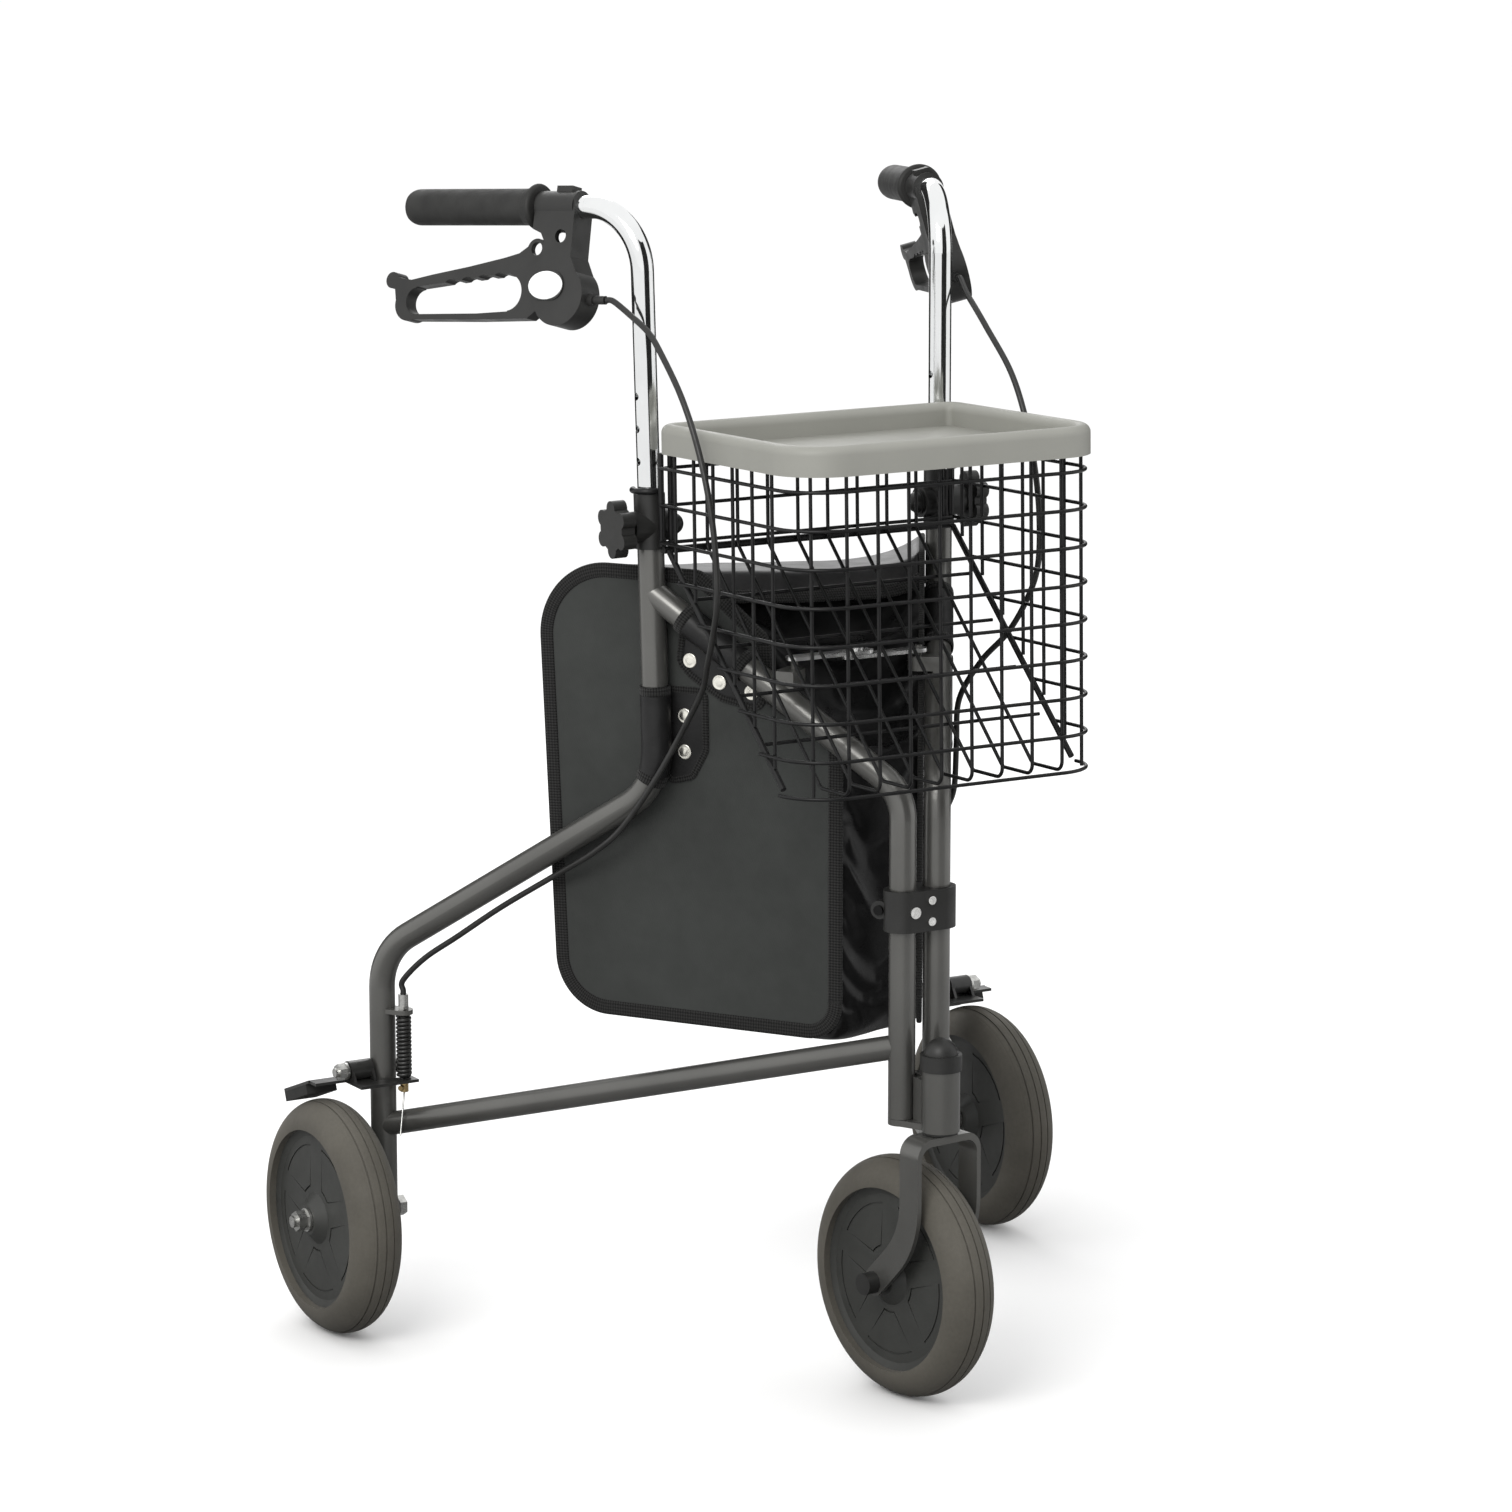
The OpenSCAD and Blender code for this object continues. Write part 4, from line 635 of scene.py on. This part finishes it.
class ROLLATOR_OT_stage(bpy.types.Operator):
    """Set up the camera, the soft studio light and the pale floor"""
    bl_idname = "rollator.stage"
    bl_label = "Stage"

    def execute(self, context):
        stage = context.scene.rollator_stage
        data = bpy.data.cameras.new("camera")
        data.lens = stage.lens
        data.sensor_width = 36
        camera = bpy.data.objects.new("camera", data)
        context.scene.collection.objects.link(camera)
        a, e = stage.azimuth, stage.elevation
        back = Vector((math.sin(a) * math.cos(e), -math.cos(a) * math.cos(e), math.sin(e)))
        camera.location = Vector(stage.target) + back * stage.distance
        camera.rotation_euler = (-back).to_track_quat("-Z", "Y").to_euler()
        data.clip_end = 100
        context.scene.camera = camera
        for name, spot, size, power, shade in (
            ("key light", (-2.7, -1.9, 2.7), 1.9, stage.key, (1.0, 0.99, 0.97)),
            ("back light", (0.6, 2.8, 2.4), 2.2, stage.key * 0.4, (1.0, 1.0, 1.0)),
        ):
            light = bpy.data.lights.new(name, "AREA")
            light.shape = "RECTANGLE"
            light.size = size
            light.size_y = size * 0.8
            light.energy = power
            light.color = shade
            lamp = bpy.data.objects.new(name, light)
            context.scene.collection.objects.link(lamp)
            lamp.location = spot
            lamp.rotation_euler = (Vector((0, 0, 0.45)) - Vector(spot)).to_track_quat("-Z", "Y").to_euler()
        world = bpy.data.worlds.new("studio")
        context.scene.world = world
        world.use_nodes = True
        world.node_tree.nodes["Background"].inputs["Color"].default_value = (1, 1, 1, 1)
        world.node_tree.nodes["Background"].inputs["Strength"].default_value = stage.sky
        context.scene.view_settings.view_transform = "Standard"
        paper = Finish("floor paper", stage.floor, rough=0.9, specular=0.1)
        paper.tint(paper.noise(3, 3), 0.99, 1.01).relief(paper.noise(250, 3), 0.0001, 0.1)
        felt = Finish("dark card felt", (0.02, 0.02, 0.02), rough=0.95, specular=0.05)
        felt.tint(felt.noise(8, 3), 0.8, 1.2)
        drab = Finish("grey bounce cloth", (0.3, 0.3, 0.3), rough=0.9, specular=0.05)
        x, y, _ = drab.axes(drab.place)
        away = drab.math("SQRT", drab.math("ADD", drab.math("MULTIPLY", x, x), drab.math("MULTIPLY", y, y)))
        spread = drab.math("ADD", away, drab.math("MULTIPLY", drab.noise(4, 3), 0.1))
        drab.tint(spread, 1.0, (0.92, 0.92, 0.92), 1.2, 1.9)
        reach = 40.0
        square = [(-reach, -reach), (reach, -reach), (reach, reach), (-reach, reach)]
        floor = mesh_piece("floor", [(x, y, -0.0005) for x, y in square], [(0, 1, 2, 3)], paper.material)
        floor.visible_diffuse = floor.visible_glossy = False
        below = [(x, y, -0.002) for x, y in square]
        bounce = mesh_piece("bounce_floor", below, [(0, 1, 2, 3)], drab.material)
        bounce.visible_camera = bounce.visible_shadow = False
        heading = Vector((-back.x, -back.y, 0)).normalized()
        aside = Vector((heading.y, -heading.x, 0))
        for i, (start, end, height) in enumerate(CARDS):
            turns = [math.radians(start + (end - start) * k / 12) for k in range(13)]
            verts = [(aside * math.sin(t) - heading * math.cos(t)) * CARD_REACH + Vector((0, 0, z))
                     for t in turns for z in (0, height)]
            faces = [(2 * k, 2 * k + 2, 2 * k + 3, 2 * k + 1) for k in range(12)]
            card = mesh_piece(f"dark_card_{i}", verts, faces, felt.material)
            card.visible_camera = card.visible_diffuse = False
            card.visible_shadow = card.visible_transmission = False
        return {"FINISHED"}


class ROLLATOR_OT_frame(bpy.types.Operator):
    """Paint the tubes, head, fork and lugs, and finish the hinge block and brace"""
    bl_idname = "rollator.frame"
    bl_label = "Frame"

    def execute(self, context):
        colours = context.scene.rollator_finishes
        tubes = both("rear_tube", "front_tube", "lower_tube", "lugs")
        dress(metallic_paint(colours), "head_tube", "fork", *tubes)
        dress(moulded_black(colours, "hinge plastic", (0.4, 0.55)), "hinge_block", "head_cap", "fork_bushes")
        dress(link_steel(), *both("brace_link"))
        dress(hinge_zinc(), "hinge_screws")
        dress(zinc_plate(), *both("brake_stud", "axle", "adjuster"))
        return {"FINISHED"}


class ROLLATOR_OT_wheels(bpy.types.Operator):
    """Finish the tyres, rims and front axle"""
    bl_idname = "rollator.wheels"
    bl_label = "Wheels"

    def execute(self, context):
        colours = context.scene.rollator_finishes
        dress(rim_plastic(colours), "front_rim", *both("rim"))
        dress(moulded_black(colours, "axle cap plastic"), "front_axle")
        for name, turn in (("front_tyre", math.radians(7.35)), ("right_tyre", 0.0), ("left_tyre", 0.0)):
            low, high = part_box(name)
            dress(tyre_rubber(colours, name.replace("_", " ") + " rubber", (low + high) / 2, turn), name)
        return {"FINISHED"}


class ROLLATOR_OT_handles(bpy.types.Operator):
    """Finish the handle tubes, grips, brake levers, collars and knobs, and set the plain badges"""
    bl_idname = "rollator.handles"
    bl_label = "Handles"

    def execute(self, context):
        colours = context.scene.rollator_finishes
        dress(chrome_plate(), *both("handle_tube"))
        dress(grip_rubber(colours), *both("grip"))
        dress(moulded_black(colours), *both("lever_housing", "brake_lever", "collar", "clamp_bolt", "knob"))
        enamel = badge_enamel()
        for side, left in SIDES:
            verts, faces = oval_badge(Vector(JOINTS[f"{side}_lever_squeeze"]["pos_m"]), left)
            badge = mesh_piece(f"{side}_lever_badge", verts, turn_out(faces, left), enamel)
            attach(badge, f"{side}_handle")
        return {"FINISHED"}


def oval_badge(pivot, left):
    """Plain oval plate with a rounded edge on the outer face of a lever housing."""
    along, out, up = (Vector((-x if left else x, y, z)) for x, y, z in LEVER_AXES)
    rings = ((1.0, -0.2), (1.0, 0.4), (0.985, 0.65), (0.95, 0.8), (0.6, 0.9), (0.25, 0.95))
    sides = 56
    verts = []
    for share, rise in rings:
        for k in range(sides):
            a = 2 * math.pi * (k + 0.5) / sides
            x = BADGE[0] * math.cos(a)
            z = BADGE[1] * math.sin(a)
            verts.append(pivot + MM * (out * (BADGE_FACE + rise) + (along * x + up * z) * share))
    faces = ring_faces(len(rings), sides, turned=True)
    last = (len(rings) - 1) * sides
    faces.append(tuple(reversed(range(last, last + sides))))
    return verts, faces


class ROLLATOR_OT_brakes(bpy.types.Operator):
    """Finish the brake arms, pads and cable clamps"""
    bl_idname = "rollator.brakes"
    bl_label = "Brakes"

    def execute(self, context):
        colours = context.scene.rollator_finishes
        dress(enamel_black(colours), *both("brake_arm"))
        dress(moulded_black(colours, "pad rubber", (0.6, 0.75), 700), *both("brake_pad"))
        dress(clamp_brass(), *both("cable_clamp"))
        return {"FINISHED"}


class ROLLATOR_OT_basket(bpy.types.Operator):
    """Finish the wire basket and the tray"""
    bl_idname = "rollator.basket"
    bl_label = "Basket and tray"

    def execute(self, context):
        colours = context.scene.rollator_finishes
        dress(dipped_wire(colours), "basket_mesh", "basket_rails")
        dress(tray_plastic(colours), "tray")
        return {"FINISHED"}


class ROLLATOR_OT_cables(bpy.types.Operator):
    """Lay the two brake cables from the levers to the adjusters"""
    bl_idname = "rollator.cables"
    bl_label = "Brake cables"

    def execute(self, context):
        vinyl = cable_vinyl(context.scene.rollator_finishes)
        for side, left in SIDES:
            path = smooth_route([on_side(left, *p) for p in CABLE_ROUTE], 8)
            cable = swept_tube(f"{side}_cable_housing", path, 0.0025, 16, vinyl)
            length = sum((b - a).length for a, b in zip(path, path[1:]))
            on_side(left, 150, 60, 600)
            on_side(left, 150, 60, 850)
            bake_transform(cable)
            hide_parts(f"{side}_brake_cable")
            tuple(path[0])
        return {"FINISHED"}


class ROLLATOR_OT_springs(bpy.types.Operator):
    """Wind the close coiled return springs of the rear brakes over their sleeves"""
    bl_idname = "rollator.springs"
    bl_label = "Return springs"

    def execute(self, context):
        colours = context.scene.rollator_finishes
        steel = enamel_black(colours)
        steel.name = "spring enamel"
        rubber = moulded_black(colours, "spring sleeve rubber", (0.5, 0.65), 900)
        radius, wire, pitch, core, margin = 0.0051, 0.0016, 0.0034, 0.0042, 0.001
        for side, left in SIDES:
            low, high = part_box(f"{side}_brake_spring")
            middle = (low + high) / 2
            rise = high.z - low.z - 2 * wire
            steps = round(30 * rise / pitch)
            path = []
            for k in range(steps + 1):
                a = 2 * math.pi * k / 30 * (-1 if left else 1)
                path.append(Vector((middle.x + radius * math.cos(a), middle.y + radius * math.sin(a),
                                    low.z + wire + rise * k / steps)))
            spring = swept_tube(f"{side}_return_spring", path, wire, 10, steel)
            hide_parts(f"{side}_brake_spring")
            foot, head = (Vector((middle.x, middle.y, z)) for z in (low.z + margin, high.z - margin))
            line = [foot.lerp(head, k / 8) for k in range(9)]
            for piece in (spring, swept_tube(f"{side}_spring_sleeve", line, core, 24, rubber)):
                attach(piece, f"{side}_frame")
                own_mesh(piece)
        return {"FINISHED"}


def hang(u):
    """Share of the sag across the bag from -1 at the right to 1 at the left, deepest left of the middle."""
    t = (u + 1) / 2
    return 1.3 * t * (1 - t ** 8)


class ROLLATOR_OT_bag_body(bpy.types.Operator):
    """Sew the bag's coated body between the side panels and let it sag"""
    bl_idname = "rollator.bag_body"
    bl_label = "Bag body"

    def execute(self, context):
        bag = context.scene.rollator_bag
        outline = rounded_outline(PANEL_CORNERS, 5.0)
        across = 36
        depth = (bag.inset + bag.panel) / MM + 0.4
        verts, faces, pins = [], [], []
        count = len(outline)
        for i, p in enumerate(outline):
            tangent = (outline[(i + 1) % count] - outline[i - 1]).normalized()
            inward = Vector((-tangent.y, tangent.x))
            q = p + inward * 3.5
            start, end = on_side(False, q.x, -depth, q.y), on_side(True, q.x, -depth, q.y)
            fall = Vector((0, inward.x, inward.y)).normalized()
            top = max(0.0, -inward.y)
            amount = (bag.sag + 0.006) * top ** 2 + 0.005 * abs(inward.x)
            for k in range(across + 1):
                u = 2 * k / across - 1
                spot = start.lerp(end, k / across)
                ripple = noise.noise(Vector((spot.x * 18, p.x * 0.012, p.y * 0.012))) * 0.004 * (1 - u ** 4)
                verts.append(spot + fall * (amount * hang(u) + ripple))
                if k in (0, across):
                    pins.append(len(verts) - 1)
        row = across + 1
        for i in range(count):
            j = (i + 1) % count
            for k in range(across):
                faces.append((i * row + k, i * row + k + 1, j * row + k + 1, j * row + k))
        body = mesh_piece("bag_body", verts, faces, coated_cloth(context.scene.rollator_finishes, gloss=0.22))
        settle_cloth(context, body, pins, bag.settle, bag.slack, 0.009)
        soften = body.modifiers.new("soft", "SUBSURF")
        soften.levels = soften.render_levels = 1
        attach(body, "head")
        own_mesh(body)
        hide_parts("bag")
        return {"FINISHED"}


def settle_cloth(context, piece, pins, steps, slack, cap):
    """Lets a piece hang and crease as cloth, held at its pins, with no point moving further than the cap."""
    rest = [v.co.copy() for v in piece.data.vertices]
    group = piece.vertex_groups.new(name="held")
    group.add(pins, 1.0, "REPLACE")
    cloth = piece.modifiers.new("cloth", "CLOTH")
    cloth.settings.vertex_group_mass = "held"
    cloth.settings.quality = 6
    cloth.settings.mass = 0.25
    cloth.settings.tension_stiffness = 25
    cloth.settings.compression_stiffness = 25
    cloth.settings.shear_stiffness = 8
    cloth.settings.bending_stiffness = 0.6
    cloth.settings.tension_damping = 12
    cloth.settings.compression_damping = 12
    cloth.settings.shrink_min = -slack
    cloth.settings.effector_weights.gravity = 0.35
    cloth.collision_settings.use_collision = False
    cloth.point_cache.frame_start = 1
    cloth.point_cache.frame_end = steps
    for step in range(1, steps + 1):
        context.scene.frame_set(step)
    shaped = piece.evaluated_get(context.evaluated_depsgraph_get()).to_mesh()
    moved = [v.co.copy() for v in shaped.vertices]
    piece.modifiers.remove(cloth)
    for vertex, start, end in zip(piece.data.vertices, rest, moved):
        shift = end - start
        if shift.length > cap:
            shift *= cap / shift.length
        vertex.co = start + shift
    piece.data.update()
    context.scene.frame_set(1)


class ROLLATOR_OT_bag_lid(bpy.types.Operator):
    """Lay the bag's lid between the side panels and bind its front edge"""
    bl_idname = "rollator.bag_lid"
    bl_label = "Bag lid"

    def execute(self, context):
        bag = context.scene.rollator_bag
        colours = context.scene.rollator_finishes
        edge = [p for p in rounded_outline(PANEL_CORNERS, 4.0) if p.y > LID_FOOT]
        last = len(edge) - 1
        across = 40
        depth = (bag.inset + bag.panel) / MM + 1.0
        rows = []
        for i, p in enumerate(edge):
            tangent = (edge[min(i + 1, last)] - edge[max(i - 1, 0)]).normalized()
            q = p + Vector((-tangent.y, tangent.x)) * 1.2
            start, end = on_side(False, q.x, -depth, q.y), on_side(True, q.x, -depth, q.y)
            row = []
            for k in range(across + 1):
                u = 2 * k / across - 1
                spot = start.lerp(end, k / across)
                ripple = noise.noise(Vector((spot.x * 16, p.x * 0.018, 7.0))) * 0.0016 * (1 - u ** 4)
                row.append(spot - Vector((0, 0, bag.sag * hang(u) * (1 - 0.5 * i / last) + ripple)))
            rows.append(row)
        size = across + 1
        faces = [(i * size + k, (i + 1) * size + k, (i + 1) * size + k + 1, i * size + k + 1)
                 for i in range(last) for k in range(across)]
        # The lid wears the body's coated cloth at 3.5 times its colour: a painted reflection that makes its
        # top look light grey.
        lid = mesh_piece("bag_lid", [v for row in rows for v in row], faces,
                         coated_cloth(colours, "coated lid cloth with painted reflection", (0.34, 0.46), 0.4, 3.5))
        thicken = lid.modifiers.new("thickness", "SOLIDIFY")
        thicken.thickness = 0.0012
        thicken.offset = -1
        falls = [(b - a).normalized() for a, b in zip(rows[-2], rows[-1])]
        verts, faces, uvs = edge_tape(rows[-1], falls, bag.lip, bag.binding_t * 0.6)
        tape = mesh_piece("bag_lid_binding", verts, faces, ribbed_tape(), uvs=uvs)
        for piece in (lid, tape):
            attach(piece, "head")
            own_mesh(piece)
        length = sum((b - a).length for a, b in zip(edge, edge[1:])) * MM
        return {"FINISHED"}


def edge_tape(points, falls, width, thick):
    """Folded tape hung along an edge, each point with the way that the cloth falls there."""
    section = tape_section(width, thick)
    verts, uvs = [], []
    size, run, last = len(section), 0.0, len(points) - 1
    for i, p in enumerate(points):
        tangent = (points[min(i + 1, last)] - points[max(i - 1, 0)]).normalized()
        fall = (falls[i] - falls[i].dot(tangent) * tangent).normalized()
        proud = tangent.cross(fall)
        run += (p - points[i - 1]).length if i else 0
        for x, y in section:
            verts.append(p + fall * (x + width * 0.35) + proud * y)
            uvs.append((run, -x))
    faces = ring_faces(last + 1, size, turned=True)
    faces.append(tuple(range(size)))
    faces.append(tuple(reversed(range(last * size, (last + 1) * size))))
    return verts, faces, uvs


class ROLLATOR_OT_bag_panels(bpy.types.Operator):
    """Cut the stiff side panels of the bag and bind their edges with woven tape"""
    bl_idname = "rollator.bag_panels"
    bl_label = "Bag side panels"

    def execute(self, context):
        bag = context.scene.rollator_bag
        colours = context.scene.rollator_finishes
        cloth, tape = panel_cloth(colours), ribbed_tape()
        outline = rounded_outline(PANEL_CORNERS, 4.0)
        middle = -(bag.inset + bag.panel / 2) / MM
        for side, left in SIDES:
            def place(along, out, up):
                return on_side(left, along, middle + out, up)
            verts, faces = cloth_plate(outline, bag.panel / MM, place)
            panel = mesh_piece(f"{side}_bag_panel", verts, turn_out(faces, left), cloth)
            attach(panel, f"{side}_frame")
            verts, faces, uvs = tape_rings(outline, bag.binding / MM, bag.binding_t / MM, place)
            binding = mesh_piece(f"{side}_bag_binding", verts, turn_out(faces, left), tape, uvs=uvs)
            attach(binding, f"{side}_frame")
        return {"FINISHED"}


class ROLLATOR_OT_bag_flaps(bpy.types.Operator):
    """Wrap the flaps that hold the bag to the frame and set their press studs"""
    bl_idname = "rollator.bag_flaps"
    bl_label = "Bag flaps and studs"

    def execute(self, context):
        bag = context.scene.rollator_bag
        colours = context.scene.rollator_finishes
        cloth = coated_cloth(colours, "coated flap cloth", (0.4, 0.55), 0.35)
        tape, nickel = ribbed_tape(), stud_nickel()
        for side, left in SIDES:
            def place(along, out, up):
                return on_side(left, along, -11.6 + out, up)
            parts, bands = [], []
            for outline in (UPRIGHT_TAB, DIAGONAL_TAB):
                edge = rounded_outline(outline, 2.0)
                parts.append(cloth_plate(edge, 1.3, place))
                bands.append(tape_rings(edge, 5.5, 1.8, place))
            for axis in (upright_axis(), straight_axis(DIAGONAL_SLEEVE, 24)):
                parts.append(sleeve(left, axis, SLEEVE_IN, SLEEVE_OUT))
                bands.append(sleeve(left, axis[:4], SLEEVE_IN, BAND_OUT, ribs=True))
                bands.append(sleeve(left, axis[-4:], SLEEVE_IN, BAND_OUT, ribs=True))
            verts, faces, _ = joined(*parts)
            flap = mesh_piece(f"{side}_flap_cloth", verts, turn_out(faces, left), cloth)
            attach(flap, f"{side}_frame")
            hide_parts(f"{side}_bag_flaps")
            verts, faces, uvs = joined(*bands)
            band = mesh_piece(f"{side}_flap_binding", verts, turn_out(faces, left), tape, uvs=uvs)
            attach(band, f"{side}_frame")
            verts, faces, _ = joined(*[stud(left, p, bag.stud / MM) for p in STUDS])
            studs = mesh_piece(f"{side}_flap_studs", verts, turn_out(faces, left), nickel)
            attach(studs, f"{side}_frame")
        return {"FINISHED"}


def straight_axis(ends, steps):
    """Points spaced evenly from one end to the other."""
    foot, head = Vector(ends[0]), Vector(ends[1])
    return [foot.lerp(head, k / steps) for k in range(steps + 1)]


def upright_axis():
    """Axis of the upright where the flap wraps it: up from the bend, which it follows for a short way."""
    turns = [math.radians(BEND_START + BEND_TURN * (1 - k / 10)) for k in range(10)]
    bend = [Vector(BEND_CENTRE) + BEND_RADIUS * Vector((math.cos(a), math.sin(a))) for a in turns]
    return bend + straight_axis(UPRIGHT_SLEEVE, 20)


def sleeve(left, axis, inner, outer, ribs=False):
    """Cloth wrapped round a tube of the side frame along points of its axis."""
    sides, steps = 40, len(axis) - 1
    verts, uvs = [], []

    def ring(i, radii):
        along = (axis[min(i + 1, steps)] - axis[max(i - 1, 0)]).normalized()
        across = Vector((along.y, -along.x))
        for k, r in enumerate(radii):
            a = 2 * math.pi * k / sides
            q = axis[i] + across * (r * math.cos(a))
            verts.append(on_side(left, q.x, r * math.sin(a), q.y))
            uvs.append((a * outer * MM, (axis[i] - axis[steps // 2]).length * MM))

    for i in range(steps + 1):
        edge = 0.35 if i in (0, steps) and ribs else 0.0
        folds = [0.0 if ribs else 0.35 * noise.noise(Vector((9.4 * k / sides, 0.2 * i, axis[0].x * 0.1)))
                 for k in range(sides)]
        ring(i, [outer - edge + fold for fold in folds])
    for i in range(steps + 1):
        ring(i, [inner] * sides)
    base, top = (steps + 1) * sides, steps * sides
    lining = ring_faces(steps + 1, sides, turned=True)
    faces = ring_faces(steps + 1, sides) + [tuple(base + v for v in face) for face in lining]
    for k in range(sides):
        j = (k + 1) % sides
        faces.append((k, base + k, base + j, j))
        faces.append((top + k, top + j, base + top + j, base + top + k))
    return verts, faces, uvs


def stud(left, spot, size):
    """Press stud cap: rolled rim, shallow dish and low dome, on the outside of a flap."""
    profile = (
        (1.0, 0.0), (1.0, 0.09), (0.97, 0.15), (0.9, 0.18),
        (0.8, 0.165), (0.72, 0.15), (0.5, 0.19), (0.25, 0.215),
    )
    sides = 24
    verts = []
    for r, h in profile:
        for k in range(sides):
            a = 2 * math.pi * k / sides
            verts.append(on_side(left, spot[0] + r * size / 2 * math.cos(a), -10.9 + h * size / 2,
                                 spot[1] + r * size / 2 * math.sin(a)))
    verts.append(on_side(left, spot[0], -10.9 + 0.225 * size / 2, spot[1]))
    faces = ring_faces(len(profile), sides, turned=True)
    last = (len(profile) - 1) * sides
    for k in range(sides):
        faces.append((last + k, len(verts) - 1, last + (k + 1) % sides))
    return verts, faces


class ROLLATOR_PT_panel(bpy.types.Panel):
    """Lists the steps that dress the rollator"""
    bl_idname = "ROLLATOR_PT_panel"
    bl_label = "Rollator"
    bl_space_type = "VIEW_3D"
    bl_region_type = "UI"
    bl_category = "Rollator"

    def draw(self, context):
        layout = self.layout
        scene = context.scene
        for group in (scene.rollator_finishes, scene.rollator_bag, scene.rollator_stage):
            box = layout.box()
            for name in group.__annotations__:
                box.prop(group, name)
        for operator in OPERATORS:
            layout.operator(operator.bl_idname)


OPERATORS = (
    ROLLATOR_OT_stage, ROLLATOR_OT_cables, ROLLATOR_OT_frame, ROLLATOR_OT_wheels, ROLLATOR_OT_handles,
    ROLLATOR_OT_brakes, ROLLATOR_OT_springs, ROLLATOR_OT_basket, ROLLATOR_OT_bag_panels, ROLLATOR_OT_bag_body,
    ROLLATOR_OT_bag_lid, ROLLATOR_OT_bag_flaps,
)
CLASSES = (RollatorFinishes, RollatorBag, RollatorStage, *OPERATORS, ROLLATOR_PT_panel)


def register():
    for cls in CLASSES:
        bpy.utils.register_class(cls)
    bpy.types.Scene.rollator_finishes = PointerProperty(type=RollatorFinishes)
    bpy.types.Scene.rollator_bag = PointerProperty(type=RollatorBag)
    bpy.types.Scene.rollator_stage = PointerProperty(type=RollatorStage)


def unregister():
    del bpy.types.Scene.rollator_finishes, bpy.types.Scene.rollator_bag, bpy.types.Scene.rollator_stage
    for cls in reversed(CLASSES):
        bpy.utils.unregister_class(cls)


def main():
    register()
    for cls in OPERATORS:
        group, name = cls.bl_idname.split(".")
        getattr(getattr(bpy.ops, group), name)()


if __name__ == "__main__":
    main()
